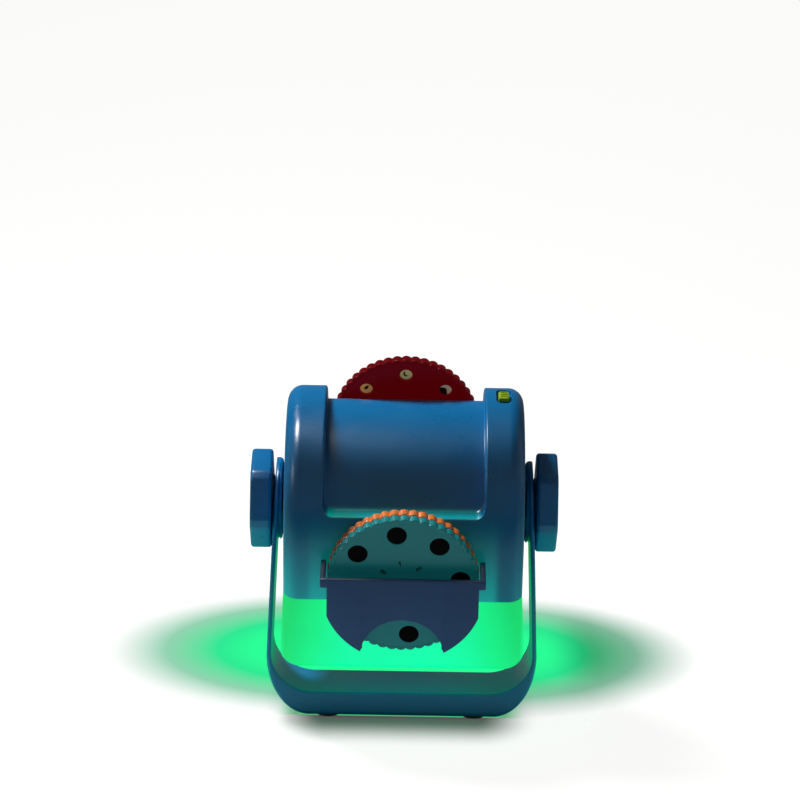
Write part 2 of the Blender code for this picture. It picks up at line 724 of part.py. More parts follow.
def switch_levels():
    """Radii of the switch's well floor, the pad's underside and the body's underside."""
    floor = HEAD_RADIUS - SWITCH_WELL_DEPTH
    under = floor - HEAD_WALL
    return floor, under, under - TOUCH - SWITCH_BODY_HEIGHT


def switch_pad(name):
    """The thicker wall under the switch's well."""
    _, under, _ = switch_levels()
    half_long = SWITCH_WELL_LENGTH / 2.0 + HEAD_WALL
    return box(name, (DECK_WIDTH / 2.0 - SWITCH_X, -half_long, under),
               (HEAD_WIDTH / 2.0 - SWITCH_X, half_long, HEAD_RADIUS), SWITCH_FRAME)


def cut_switch_well(shell):
    """Cut the oval well and the stem's slot in the right cheek."""
    floor, under, _ = switch_levels()
    straight = (SWITCH_WELL_LENGTH - SWITCH_WELL_WIDTH) / 2.0
    half = SWITCH_WELL_WIDTH / 2.0
    oval = arc(half, 0.0, math.pi, 6, (0.0, straight))
    oval += arc(half, math.pi, math.tau, 6, (0.0, -straight))
    deep = SWITCH_WELL_DEPTH + OVERRUN
    well = slab("switch_well", [oval], deep, UPRIGHT,
                (0.0, 0.0, floor + deep / 2.0), SWITCH_FRAME)
    boolean(shell, well)
    long = STEM_LENGTH / 2.0 + SWITCH_TRAVEL + TOUCH
    wide = STEM_WIDTH / 2.0 + TOUCH
    slot = box("stem_slot", (-wide, -long, under - OVERRUN), (wide, long, floor + OVERRUN),
               SWITCH_FRAME)
    boolean(shell, slot)


def screw_places():
    """Where the four shell screws run, as (x, z)."""
    return [(x, z) for x in (-SCREW_X, SCREW_X) for z in (SCREW_LOW, SCREW_HIGH)]


def y_rod(name, radius, start, end, x, z, steps=ROUND_STEPS, tip=None):
    """A round bar of the head along Y."""
    return rod(name, radius, start, end, ALONG_Y, (x, 0.0, z), HEAD, steps, tip)


def build_rear_shell():
    """The back of the head: cheeks, deck, flat back, pivot hubs and posts."""
    shell = shell_blank("rear_shell")
    reach = HEAD_WIDTH / 2.0 + OVERRUN
    for x, z in screw_places():
        post = y_rod("rear_post", SCREW_POST_RADIUS, SPLIT_Y - SCREW_BITE, SPLIT_Y + OVERRUN,
                     x, z, SCREW_STEPS)
        boolean(shell, post, "UNION")
    ahead = box("rear_ahead", (-reach, SPLIT_Y, -reach), (reach, reach, reach), HEAD)
    boolean(shell, ahead)
    wall_inner = HEAD_WIDTH / 2.0 - HEAD_WALL
    hub_inner = wall_inner - TOUCH - INSERT_LENGTH - HEAD_WALL

    def hub(side, sign):
        here = (0.0, 0.0, 0.0)
        solid = x_rod("hub_" + side, HUB_RADIUS, hub_inner, wall_inner + HEAD_WALL / 2.0, sign,
                      here, HEAD, WASHER_STEPS)
        boolean(shell, solid, "UNION")
        seat = x_rod("insert_seat_" + side, INSERT_RADIUS + TOUCH, hub_inner - OVERRUN,
                     wall_inner, sign, here, HEAD, BOLT_STEPS)
        boolean(shell, seat)
        hole = x_rod("bolt_hole_" + side, BOLT_RADIUS + BOLT_CLEARANCE, wall_inner - OVERRUN,
                     reach, sign, here, HEAD, BOLT_STEPS)
        boolean(shell, hole)

    mirrored(hub)
    for x, z in screw_places():
        bite = y_rod("rear_bite", SCREW_RADIUS + TOUCH, SPLIT_Y - SCREW_BITE - OVERRUN,
                     SPLIT_Y + OVERRUN, x, z, SCREW_STEPS)
        boolean(shell, bite)
    for x in (-MAIN_POST_X, MAIN_POST_X):
        for z in (MAIN_BOARD_LOW + MAIN_POST_INSET, MAIN_BOARD_HIGH - MAIN_POST_INSET):
            post = y_rod("board_post", BOARD_POST_RADIUS, -HEAD_RADIUS,
                         MAIN_BOARD_Y - BOARD_THICKNESS - TOUCH, x, z, SCREW_STEPS)
            boolean(post, head_form("board_post_trim", HEAD_WALL / 2.0), "INTERSECT")
            boolean(shell, frozen(post), "UNION")
    cut_switch_well(shell)
    return dress(cut_out(shell), BLUE)


def build_front_shell():
    """The front of the head: the disc's slot, the lens boss with its guide tube, screw columns."""
    shell = shell_blank("front_shell")
    reach = HEAD_WIDTH / 2.0 + OVERRUN
    start = SPLIT_Y + TOUCH
    for x, z in screw_places():
        post = y_rod("front_post", SCREW_POST_RADIUS, start - OVERRUN, HEAD_RADIUS, x, z,
                     SCREW_STEPS)
        boolean(post, head_form("post_trim", HEAD_WALL / 2.0), "INTERSECT")
        boolean(shell, frozen(post), "UNION")
    behind = box("front_behind", (-reach, -reach, -reach), (reach, start, reach), HEAD)
    boolean(shell, behind)
    boss = y_rod("lens_boss", LENS_BOSS_RADIUS, HEAD_RADIUS - LENS_BOSS_ROOT, HEAD_RADIUS,
                 0.0, 0.0)
    boolean(shell, boss, "UNION")
    guide_bore = BARREL_RADIUS + TOUCH
    guide = y_rod("barrel_guide", guide_bore + GUIDE_TUBE_WALL, GUIDE_TUBE_REAR,
                  HEAD_RADIUS + GUIDE_TUBE_NOSE, 0.0, 0.0)
    boolean(shell, guide, "UNION")
    bore = y_rod("barrel_bore", guide_bore, GUIDE_TUBE_REAR - OVERRUN,
                 HEAD_RADIUS + GUIDE_TUBE_NOSE + OVERRUN, 0.0, 0.0)
    boolean(shell, bore)
    for x, z in screw_places():
        well = y_rod("screw_well", SCREW_HEAD_RADIUS + TOUCH, SCREW_SEAT_Y, HEAD_RADIUS + OVERRUN,
                     x, z, SCREW_STEPS)
        boolean(shell, well)
        shank = y_rod("shank_hole", SCREW_RADIUS + TOUCH, start - OVERRUN, SCREW_SEAT_Y + OVERRUN,
                      x, z, SCREW_STEPS)
        boolean(shell, shank)
    slot_end = DISC_MID_Y + DISC_THICKNESS / 2.0 + SLOT_CLEARANCE
    half = DISC_RADIUS + SLOT_CLEARANCE
    slot = box("disc_slot", (-half, SPLIT_Y - OVERRUN, DECK_FRONT_LEDGE - HEAD_WALL),
               (half, slot_end, reach), HEAD)
    boolean(shell, slot)
    cut_switch_well(shell)
    return dress(cut_out(shell), BLUE)


def build_shell_screws():
    """Four screws that come in from the front."""
    head_end = SCREW_SEAT_Y + TOUCH + SCREW_HEAD_HEIGHT
    head_seat = SCREW_SEAT_Y + TOUCH
    tip = SPLIT_Y - SCREW_BITE + OVERRUN
    profile = [(0.0, head_end), (SCREW_HEAD_RADIUS, head_end), (SCREW_HEAD_RADIUS, head_seat),
               (SCREW_RADIUS, head_seat), (SCREW_RADIUS, tip), (0.0, tip)]
    for x, z in screw_places():
        name = "shell_screw_%s_%s" % ("lower" if z < 0.0 else "upper",
                                      "left" if x < 0.0 else "right")
        dress(turned(name, profile, ALONG_Y, (x, 0.0, z), HEAD, SCREW_STEPS), STEEL)


# Diffuser
def tub_form(name, inset, top, bottom, rounding):
    """A round-cornered box that widens downward, for the tub and its inside."""
    form = bmesh.new()
    bmesh.ops.create_cube(form, size=2.0)
    for vert in form.verts:
        z = top if vert.co.z > 0.0 else bottom
        sunk_share = (z + SHELL_DROP) / (DIFFUSER_BOTTOM + SHELL_DROP)
        half = HEAD_WIDTH / 2.0 - inset + DIFFUSER_FLARE * sunk_share
        vert.co = (vert.co.x * half, vert.co.y * (HEAD_RADIUS - inset), z)
    upright = [side for side in form.edges
               if abs(side.verts[0].co.z - side.verts[1].co.z) > WELD]
    bevel_edges(form, upright, SIDE_FILLET - inset, FILLET_STEPS)
    if rounding:
        low = [side for side in form.edges
               if all(abs(vert.co.z - bottom) < WELD for vert in side.verts)]
        bevel_edges(form, low, rounding, FILLET_STEPS)
    return add_object(name, form, HEAD)


def battery_sizes():
    """Half length and half width of the battery bay inside, and its tabbed end."""
    half_x = CELL_LENGTH / 2.0 + BATTERY_END_ROOM
    half_y = CELL_PITCH * (CELLS - 1) / 2.0 + CELL_RADIUS + BATTERY_WALL / 2.0
    return half_x, half_y, half_y + BATTERY_WALL + COVER_TAB


def build_diffuser():
    """The milky tub with its lip, board posts and battery opening."""
    top = -SHELL_DROP - TOUCH
    floor = DIFFUSER_BOTTOM + DIFFUSER_WALL
    tub = tub_form("diffuser", 0.0, top, DIFFUSER_BOTTOM, DIFFUSER_EDGE)
    lip_inset = HEAD_WALL + TOUCH
    lip = tub_form("diffuser_lip", lip_inset, top + LIP_HEIGHT, top - LIP_ROOT / 2.0, 0.0)
    boolean(tub, lip, "UNION")
    mouth = tub_form("diffuser_mouth", lip_inset + LIP_THICKNESS, top + LIP_HEIGHT + OVERRUN,
                     top - LIP_ROOT - OVERRUN, 0.0)
    boolean(tub, mouth)
    inside = tub_form("diffuser_inside", DIFFUSER_WALL, top - LIP_ROOT, floor, 0.0)
    boolean(tub, inside)
    relief = y_rod("lens_relief", LENS_BOSS_RADIUS + TOUCH, GUIDE_TUBE_REAR - OVERRUN,
                   HEAD_RADIUS + OVERRUN, 0.0, 0.0)
    boolean(tub, relief)
    for x in (-BOARD_POST_X, BOARD_POST_X):
        for y in (-BOARD_POST_Y, BOARD_POST_Y):
            post = rod("diffuser_post", BOARD_POST_RADIUS, floor - DIFFUSER_WALL / 2.0,
                       NIGHT_BOARD_TOP - BOARD_THICKNESS - TOUCH, UPRIGHT,
                       (x, y, 0.0), HEAD, SCREW_STEPS)
            boolean(tub, post, "UNION")
    half_x, half_y, tab_y = battery_sizes()
    hole = box("battery_opening", (-half_x, -half_y, DIFFUSER_BOTTOM - OVERRUN),
               (half_x, tab_y, floor + OVERRUN), HEAD)
    boolean(tub, hole)
    return dress(cut_out(tub), MILKY)


# Batteries
def cell_height():
    """Height of the cells' axes above the cover."""
    return DIFFUSER_BOTTOM + DIFFUSER_WALL + TOUCH + CELL_RADIUS


def cell_rows():
    """The cells' places across the bay."""
    first = -CELL_PITCH * (CELLS - 1) / 2.0
    return [first + CELL_PITCH * row for row in range(CELLS)]


def build_battery_box():
    """The black bay on the tub's floor, open below, with the cover screw's block."""
    half_x, half_y, tab_y = battery_sizes()
    floor = DIFFUSER_BOTTOM + DIFFUSER_WALL + TOUCH
    roof = cell_height() + CELL_RADIUS + TOUCH
    bay = box("battery_box", (-half_x - BATTERY_WALL, -half_y - BATTERY_WALL, floor),
              (half_x + BATTERY_WALL, tab_y + BATTERY_WALL, roof + BATTERY_WALL), HEAD)
    inside = box("battery_inside", (-half_x, -half_y, floor - OVERRUN), (half_x, half_y, roof),
                 HEAD)
    boolean(bay, inside)
    bore = rod("cover_screw_bore", SCREW_RADIUS + TOUCH, floor - OVERRUN, roof, UPRIGHT,
               (0.0, tab_y - COVER_SCREW_INSET, 0.0), HEAD, SCREW_STEPS)
    boolean(bay, bore)
    return dress(cut_out(bay), BLACK)


def build_battery_cells():
    """Three cells, laid head to tail."""
    half = CELL_LENGTH / 2.0
    shoulder = half - CELL_CAP_LENGTH
    profile = [(0.0, half), (CELL_CAP_RADIUS, half), (CELL_CAP_RADIUS, shoulder),
               (CELL_RADIUS, shoulder), (CELL_RADIUS, -half), (0.0, -half)]
    for row, y in enumerate(cell_rows()):
        way = ALONG_X if row % 2 == 0 else Matrix.Rotation(math.pi, 4, "Z") @ ALONG_X
        cell = turned("battery_cell_%d" % (row + 1), profile, way, (0.0, y, cell_height()), HEAD,
                      CELL_STEPS)
        dress(cell, CELL_WRAP)


def build_battery_contact(side, sign):
    """The plate across one end of the bay, with a bump for each cell."""
    half_x, half_y, _ = battery_sizes()
    outer = half_x - TOUCH
    half = CONTACT_WIDTH / 2.0
    low, high = sorted((sign * (outer - CONTACT_THICKNESS), sign * outer))
    plate = box("battery_contact_" + side, (low, TOUCH - half_y, cell_height() - half),
                (high, half_y - TOUCH, cell_height() + half), HEAD)
    for y in cell_rows():
        bump = x_rod("contact_bump", CONTACT_BUMP, CELL_LENGTH / 2.0 + TOUCH,
                     outer - CONTACT_THICKNESS / 2.0, sign, (0.0, y, cell_height()), HEAD,
                     SCREW_STEPS)
        boolean(plate, bump, "UNION")
    return dress(cut_out(plate), STEEL)


def build_battery_cover():
    """The plate that closes the bay, flush with the tub's underside, and its screw."""
    half_x, half_y, tab_y = battery_sizes()
    top = DIFFUSER_BOTTOM + DIFFUSER_WALL
    cover = box("battery_cover", (TOUCH - half_x, TOUCH - half_y, DIFFUSER_BOTTOM),
                (half_x - TOUCH, tab_y - TOUCH, top), HEAD)
    screw_y = tab_y - COVER_SCREW_INSET
    sunk = DIFFUSER_BOTTOM + DIFFUSER_WALL / 2.0
    well = rod("cover_well", SCREW_HEAD_RADIUS + TOUCH, DIFFUSER_BOTTOM - OVERRUN, sunk,
               UPRIGHT, (0.0, screw_y, 0.0), HEAD, SCREW_STEPS)
    hole = rod("cover_hole", SCREW_RADIUS + TOUCH, DIFFUSER_BOTTOM - OVERRUN, top + OVERRUN,
               UPRIGHT,
               (0.0, screw_y, 0.0), HEAD, SCREW_STEPS)
    boolean(cover, well)
    boolean(cover, hole)
    dress(cut_out(cover), BLUE)
    head_top = sunk - TOUCH
    tip = cell_height() + CELL_RADIUS - OVERRUN
    profile = [(0.0, tip), (SCREW_RADIUS, tip), (SCREW_RADIUS, head_top),
               (SCREW_HEAD_RADIUS, head_top), (SCREW_HEAD_RADIUS, DIFFUSER_BOTTOM),
               (0.0, DIFFUSER_BOTTOM)]
    screw = turned("battery_cover_screw", profile, UPRIGHT, (0.0, screw_y, 0.0), HEAD,
                   SCREW_STEPS)
    return dress(screw, STEEL)


# Circuit boards
def build_night_light():
    """The board over the tub with its downward lamps."""
    low = NIGHT_BOARD_TOP - BOARD_THICKNESS
    board = box("night_light_board", (-NIGHT_BOARD_X, -NIGHT_BOARD_Y, low),
                (NIGHT_BOARD_X, NIGHT_BOARD_Y, NIGHT_BOARD_TOP), HEAD)
    hole = box("board_hole", (-NIGHT_BOARD_HOLE_X, -NIGHT_BOARD_HOLE_Y, low - OVERRUN),
               (NIGHT_BOARD_HOLE_X, NIGHT_BOARD_HOLE_Y, NIGHT_BOARD_TOP + OVERRUN), HEAD)
    boolean(board, hole)
    dress(cut_out(board), BOARD_GREEN)
    half = LED_SIZE / 2.0
    for side, x in (("left", -LED_X), ("right", LED_X)):
        for end, y in (("rear", -LED_Y), ("front", LED_Y)):
            lamp = box("night_light_led_%s_%s" % (end, side),
                       (x - half, y - half, low - TOUCH - LED_HEIGHT),
                       (x + half, y + half, low - TOUCH), HEAD)
            dress(lamp, LAMP_WHITE)


def build_main_board():
    """The upright board behind the lamp, with its chip and capacitor."""
    board = box("main_board", (-MAIN_BOARD_X, MAIN_BOARD_Y - BOARD_THICKNESS, MAIN_BOARD_LOW),
                (MAIN_BOARD_X, MAIN_BOARD_Y, MAIN_BOARD_HIGH), HEAD)
    dress(board, BOARD_GREEN)
    face = MAIN_BOARD_Y + TOUCH
    chip = box("board_chip", (-CHIP_X / 2.0, face, -CHIP_Z / 2.0),
               (CHIP_X / 2.0, face + CHIP_HEIGHT, CHIP_Z / 2.0), HEAD)
    dress(chip, BLACK)
    capacitor = y_rod("board_capacitor", CAPACITOR_RADIUS, face, face + CAPACITOR_LENGTH,
                      CAPACITOR_X, 0.0, SCREW_STEPS)
    return dress(capacitor, BLACK)


# Lamp and lenses
def lens_profile(radius, edge, bulge, both_sides):
    """Half section of a lens: a flat edge with one or two domed faces."""
    def dome(sign, height):
        return [(radius * math.sin(a), sign * (height + bulge * (math.cos(a) - math.cos(quarter))
                                               / (1.0 - math.cos(quarter))))
                for a in angles]
    quarter = math.pi / 2.0
    angles = [quarter * step / LENS_RINGS for step in range(LENS_RINGS + 1)]
    top = dome(1.0, edge / 2.0)
    if both_sides:
        return top + list(reversed(dome(-1.0, edge / 2.0)))
    return top + [(radius, -edge / 2.0), (0.0, -edge / 2.0)]


def build_lamp():
    """The lamp on its board inside the condenser's tube."""
    board = y_rod("lamp_board", TUBE_BORE - TOUCH, LAMP_BOARD_REAR,
                  LAMP_BOARD_REAR + BOARD_THICKNESS, 0.0, 0.0, LENS_STEPS)
    dress(board, BOARD_GREEN)
    start = LAMP_BOARD_REAR + BOARD_THICKNESS + TOUCH
    shoulder = start + LAMP_BASE_HEIGHT
    tip = shoulder + LAMP_LENGTH
    dome = arc(LAMP_RADIUS, math.pi / 2.0, 0.0, LENS_RINGS, (0.0, tip))
    profile = [(max(radius, 0.0), height) for radius, height in dome]
    profile[0] = (0.0, profile[0][1])
    profile += [(LAMP_RADIUS, shoulder), (LAMP_BASE_RADIUS, shoulder), (LAMP_BASE_RADIUS, start),
                (0.0, start)]
    lamp = turned("lamp_led", profile, ALONG_Y, (0.0, 0.0, 0.0), HEAD, LENS_STEPS)
    dress(lamp, LAMP_WHITE)
    front = guide_rear() - TOUCH
    profile = [(TUBE_FLANGE_RADIUS, front), (TUBE_FLANGE_RADIUS, front - TUBE_FLANGE),
               (TUBE_RADIUS, front - TUBE_FLANGE), (TUBE_RADIUS, TUBE_REAR),
               (TUBE_BORE, TUBE_REAR), (TUBE_BORE, front)]
    tube = turned("condenser_tube", profile, ALONG_Y, (0.0, 0.0, 0.0), HEAD, LENS_STEPS)
    dress(tube, BLACK)
    profile = lens_profile(TUBE_BORE - TOUCH, CONDENSER_EDGE, CONDENSER_BULGE, False)
    lens = turned("condenser_lens", profile, ALONG_Y, (0.0, CONDENSER_REAR, 0.0), HEAD, LENS_STEPS)
    return dress(lens, GLASS)


def guide_rear():
    """Rear face of the disc's guide."""
    return DISC_MID_Y - DISC_THICKNESS / 2.0 - TOUCH - GUIDE_WALL


def build_disc_guide():
    """The channel that the disc in use stands in, with the picture gate through both walls."""
    thickness = 2.0 * (DISC_MID_Y - guide_rear())
    radius = DISC_RADIUS + TOUCH
    centre = (0.0, WINDOW_CIRCLE)
    outer = arc(radius + GUIDE_RIM, math.pi, math.tau, GUIDE_STEPS, centre)
    outer += [(radius + GUIDE_RIM, GUIDE_TOP), (-radius - GUIDE_RIM, GUIDE_TOP)]
    guide = slab("disc_guide", [outer], thickness, FACING_Y, (0.0, DISC_MID_Y, 0.0), HEAD)
    channel = arc(radius, math.pi, math.tau, GUIDE_STEPS, centre)
    channel += [(radius, GUIDE_TOP + OVERRUN), (-radius, GUIDE_TOP + OVERRUN)]
    inside = slab("guide_channel", [channel], DISC_THICKNESS + 2.0 * TOUCH, FACING_Y,
                  (0.0, DISC_MID_Y, 0.0), HEAD)
    wing_x = HEAD_WIDTH / 2.0 - HEAD_WALL - TOUCH
    half = DISC_THICKNESS / 2.0
    wings = box("guide_wings", (-wing_x, DISC_MID_Y - half, WING_LOW),
                (wing_x, DISC_MID_Y + half, WING_HIGH), HEAD)
    boolean(guide, wings, "UNION")
    boolean(guide, inside)
    gate = y_rod("picture_gate", GATE_RADIUS, guide_rear() - OVERRUN,
                 guide_rear() + thickness + OVERRUN, 0.0, 0.0, LENS_STEPS)
    boolean(guide, gate)
    nub_half = NUB_RADIUS + TOUCH
    nub_hole = box("nub_hole", (-nub_half, DISC_MID_Y - SPRING_WIDTH / 2.0 - TOUCH,
                                WINDOW_CIRCLE - radius - GUIDE_RIM - OVERRUN),
                   (nub_half, DISC_MID_Y + SPRING_WIDTH / 2.0 + TOUCH,
                    WINDOW_CIRCLE - radius + OVERRUN), HEAD)
    boolean(guide, nub_hole)
    return dress(cut_out(guide), BLACK)


def build_detent_spring():
    """A leaf under the guide, whose nub reaches up to the disc's knurled rim."""
    under = WINDOW_CIRCLE - DISC_RADIUS - TOUCH - GUIDE_RIM - TOUCH
    tip = WINDOW_CIRCLE - DISC_RADIUS - TOUCH
    stem = tip - NUB_RADIUS
    nub = arc(NUB_RADIUS, 0.0, math.pi, 6, (0.0, stem))
    low = under - SPRING_THICKNESS
    outline = [(SPRING_REACH, low), (SPRING_REACH, under), (NUB_RADIUS, under)] + nub
    outline += [(-NUB_RADIUS, under), (-SPRING_REACH, under), (-SPRING_REACH, low)]
    spring = slab("detent_spring", [outline], SPRING_WIDTH, FACING_Y, (0.0, DISC_MID_Y, 0.0),
                  HEAD)
    return dress(spring, STEEL)


def build_lens_barrel():
    """The sliding barrel, its two lenses and the ring that holds them."""
    barrel = hollow_ring("lens_barrel", BARREL_RADIUS, BARREL_BORE, BARREL_REAR, BARREL_FRONT,
                         ALONG_Y, (0.0, 0.0, 0.0), HEAD)
    dress(barrel, BLACK)
    profile = lens_profile(BARREL_BORE - TOUCH, OBJECTIVE_EDGE, OBJECTIVE_BULGE, True)
    for name, place in (("rear_objective", REAR_OBJECTIVE_Y),
                        ("front_objective", FRONT_OBJECTIVE_Y)):
        lens = turned(name, profile, ALONG_Y, (0.0, place, 0.0), HEAD, LENS_STEPS)
        dress(lens, GLASS)
    keeper = hollow_ring("lens_retaining_ring", BARREL_BORE - TOUCH, RETAINER_BORE, RETAINER_Y,
                         RETAINER_Y + RETAINER_LENGTH, ALONG_Y, (0.0, 0.0, 0.0), HEAD)
    return dress(keeper, BLACK)


def lobed_outline(radius, depth, lobes, points):
    """A round outline with rounded bumps: a cosine that lingers at its crests."""
    outline = []
    for step in range(lobes * points):
        angle = math.tau * step / (lobes * points)
        swing = 1.0 - abs(math.cos(lobes * angle / 2.0))
        outline.append(((radius - depth * swing) * math.cos(angle),
                        (radius - depth * swing) * math.sin(angle)))
    return outline


def build_focus_ring():
    """The lobed ring that turns on the guide tube's nose and works the barrel."""
    start = HEAD_RADIUS + TOUCH
    ring_solid = slab("focus_ring", [lobed_outline(RING_RADIUS, LOBE_DEPTH, RING_LOBES, BUMP_STEPS)],
                      RING_LENGTH, FACING_Y, (0.0, start + RING_LENGTH / 2.0, 0.0), HEAD)
    bore = y_rod("ring_bore", BARREL_RADIUS + TOUCH, start - OVERRUN,
                 start + RING_LENGTH + OVERRUN, 0.0, 0.0)
    boolean(ring_solid, bore)
    seat = y_rod("ring_seat", BARREL_RADIUS + GUIDE_TUBE_WALL + 2.0 * TOUCH, start - OVERRUN,
                 HEAD_RADIUS + GUIDE_TUBE_NOSE + TOUCH, 0.0, 0.0)
    boolean(ring_solid, seat)
    return dress(cut_out(ring_solid), LIME)


# Picture discs
def build_disc(colour_name, finish, place, turn):
    """One knurled disc with eight windows, hollow for its film, and the film."""
    axis = Matrix.Rotation(turn, 4, "Y") @ FACING_Y
    holes = []
    for window in range(WINDOWS):
        angle = math.pi / 2.0 + math.tau * window / WINDOWS
        centre = (WINDOW_CIRCLE * math.cos(angle), WINDOW_CIRCLE * math.sin(angle))
        holes.append(ring(WINDOW_RADIUS, WINDOW_STEPS, centre))
    rim = lobed_outline(DISC_RADIUS, BUMP_DEPTH, DISC_BUMPS, BUMP_STEPS)
    disc = slab(colour_name + "_disc", [rim] + holes, DISC_THICKNESS, axis, place, HEAD)
    face = DISC_RADIUS - DISC_RIM
    half = DISC_THICKNESS / 2.0
    for sign in (-1.0, 1.0):
        low, high = sorted((sign * (half - DISC_FACE_SUNK), sign * (half + OVERRUN)))
        sunk = rod("disc_face", face, low, high, ALONG_Y, place, HEAD, FACE_STEPS)
        boolean(disc, sunk)
    room = FILM_THICKNESS / 2.0 + TOUCH
    hollow = rod("film_room", FILM_RADIUS + TOUCH, -room, room, ALONG_Y, place, HEAD, FILM_STEPS)
    boolean(disc, hollow)
    dress(cut_out(disc), finish)
    film = rod(colour_name + "_disc_film", FILM_RADIUS, -FILM_THICKNESS / 2.0,
               FILM_THICKNESS / 2.0, ALONG_Y, place, HEAD, FILM_STEPS)
    return dress(film, FILM)


def stored_disc_y(number):
    """Middle of a stored disc, counted from the head's back."""
    pitch = DISC_THICKNESS + TOUCH
    return -HEAD_RADIUS - TOUCH - DISC_THICKNESS / 2.0 - number * pitch


def build_pocket():
    """The half-round pocket: a plate with ears, arc walls under the discs and a thumb notch."""
    centre = (0.0, POCKET_CENTRE_Z)
    top = POCKET_CENTRE_Z + POCKET_TOP_RISE
    ear_low = top - POCKET_EAR_DROP
    side_angle = math.acos(POCKET_SIDE_X / POCKET_RADIUS)
    drop = (POCKET_RADIUS ** 2 + NOTCH_DROP ** 2 - NOTCH_RADIUS ** 2) / (2.0 * NOTCH_DROP)
    tip_x = math.sqrt(NOTCH_RADIUS ** 2 - (drop - NOTCH_DROP) ** 2)
    tip_angle = math.asin(drop / POCKET_RADIUS)
    notch_angle = math.atan2(NOTCH_DROP - drop, tip_x)
    right = [(POCKET_EAR_X, top), (POCKET_EAR_X, ear_low),
             (POCKET_SIDE_X, ear_low - POCKET_EAR_SLOPE)]
    right += arc(POCKET_RADIUS, -side_angle, -tip_angle, POCKET_ARC_STEPS, centre)
    notch = arc(NOTCH_RADIUS, notch_angle, math.pi - notch_angle, 2 * POCKET_ARC_STEPS,
                (0.0, POCKET_CENTRE_Z - NOTCH_DROP))[1:-1]
    left = [(-x, z) for x, z in reversed(right)]
    start = -HEAD_RADIUS - TOUCH
    inner = stored_disc_y(POCKET_PLACES - 1) - DISC_THICKNESS / 2.0 - TOUCH
    end = inner - POCKET_WALL
    pocket = slab("disc_pocket", [right + notch + left], start - end, FACING_Y,
                  (0.0, (start + end) / 2.0, 0.0), HEAD)
    radius = DISC_RADIUS + TOUCH
    room = arc(radius, math.pi, math.tau, GUIDE_STEPS, centre)
    room += [(radius, top + OVERRUN), (-radius, top + OVERRUN)]
    cavity = slab("pocket_room", [room], start + OVERRUN - inner, FACING_Y,
                  (0.0, (start + OVERRUN + inner) / 2.0, 0.0), HEAD)
    boolean(pocket, cavity)
    return dress(cut_out(pocket), NAVY)


# Switch
def build_switch():
    """The lime slider in its well and the switch body under the cheek."""
    floor, under, bottom = switch_levels()
    half_long, half_wide = SLIDER_LENGTH / 2.0, SLIDER_WIDTH / 2.0
    slider = box("switch_slider", (-half_wide, -half_long, floor + TOUCH),
                 (half_wide, half_long, HEAD_RADIUS + SLIDER_PROUD), SWITCH_FRAME)
    soften(slider, SLIDER_EDGE)
    frozen(slider)
    stem = box("slider_stem", (-STEM_WIDTH / 2.0, -STEM_LENGTH / 2.0, under),
               (STEM_WIDTH / 2.0, STEM_LENGTH / 2.0, floor + 2.0 * TOUCH), SWITCH_FRAME)
    boolean(slider, stem, "UNION")
    dress(cut_out(slider), LIME)
    body_long, body_wide = SWITCH_BODY_LENGTH / 2.0, SWITCH_BODY_WIDTH / 2.0
    body = box("switch_body", (-body_wide, -body_long, bottom),
               (body_wide, body_long, under - TOUCH), SWITCH_FRAME)
    return dress(body, STEEL)


build_stand()
build_feet()
mirrored(build_knob)
mirrored(build_pivot)
build_rear_shell()
build_front_shell()
build_shell_screws()
build_diffuser()
build_battery_box()
build_battery_cells()
mirrored(build_battery_contact)
build_battery_cover()
build_night_light()
build_main_board()
build_lamp()
build_disc_guide()
build_detent_spring()
build_lens_barrel()
build_focus_ring()
build_disc("red", RED, (0.0, DISC_MID_Y, WINDOW_CIRCLE), 0.0)
build_disc("orange", ORANGE, (0.0, stored_disc_y(0), POCKET_CENTRE_Z), ORANGE_TURN)
build_disc("teal", TEAL, (0.0, stored_disc_y(1), POCKET_CENTRE_Z), TEAL_TURN)
build_pocket()
build_switch()
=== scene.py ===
"""A child's slide projector on a U stand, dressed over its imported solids.

Lengths in the classes are millimetres. The head is worked out level, in its own frame (across,
along the lens, up), and turned to its rest tilt about the pivot when its points are placed.
"""

from __future__ import annotations

import logging
import math
from dataclasses import dataclass
from enum import Enum
from typing import Any, Callable, Sequence

import bmesh
import bpy
import numpy as np
from mathutils import Matrix

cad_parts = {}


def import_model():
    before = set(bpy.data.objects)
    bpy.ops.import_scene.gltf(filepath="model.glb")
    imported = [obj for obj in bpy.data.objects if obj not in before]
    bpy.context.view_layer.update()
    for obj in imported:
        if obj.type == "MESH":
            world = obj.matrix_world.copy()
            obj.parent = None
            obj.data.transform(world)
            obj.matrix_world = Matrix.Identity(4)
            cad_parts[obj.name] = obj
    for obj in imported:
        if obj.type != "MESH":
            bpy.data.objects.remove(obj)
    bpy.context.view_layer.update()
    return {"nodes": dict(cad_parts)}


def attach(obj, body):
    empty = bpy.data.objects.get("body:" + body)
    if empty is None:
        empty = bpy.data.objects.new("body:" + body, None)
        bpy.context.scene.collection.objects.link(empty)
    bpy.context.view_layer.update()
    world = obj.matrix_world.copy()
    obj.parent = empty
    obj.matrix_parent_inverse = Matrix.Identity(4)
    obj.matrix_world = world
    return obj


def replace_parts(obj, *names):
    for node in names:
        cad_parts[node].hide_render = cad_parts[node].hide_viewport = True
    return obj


LOG = logging.getLogger("light_projector")
MM = 0.001
PIVOT_HEIGHT = 100.0
HEAD_TILT = math.radians(17.4)
RGBA = {"data_type": "RGBA"}
TINT = RGBA | {"blend_type": "MULTIPLY"}
SMOOTH = {"interpolation_type": "SMOOTHSTEP"}
Pair = tuple[float, float]
Point = tuple[float, float, float]


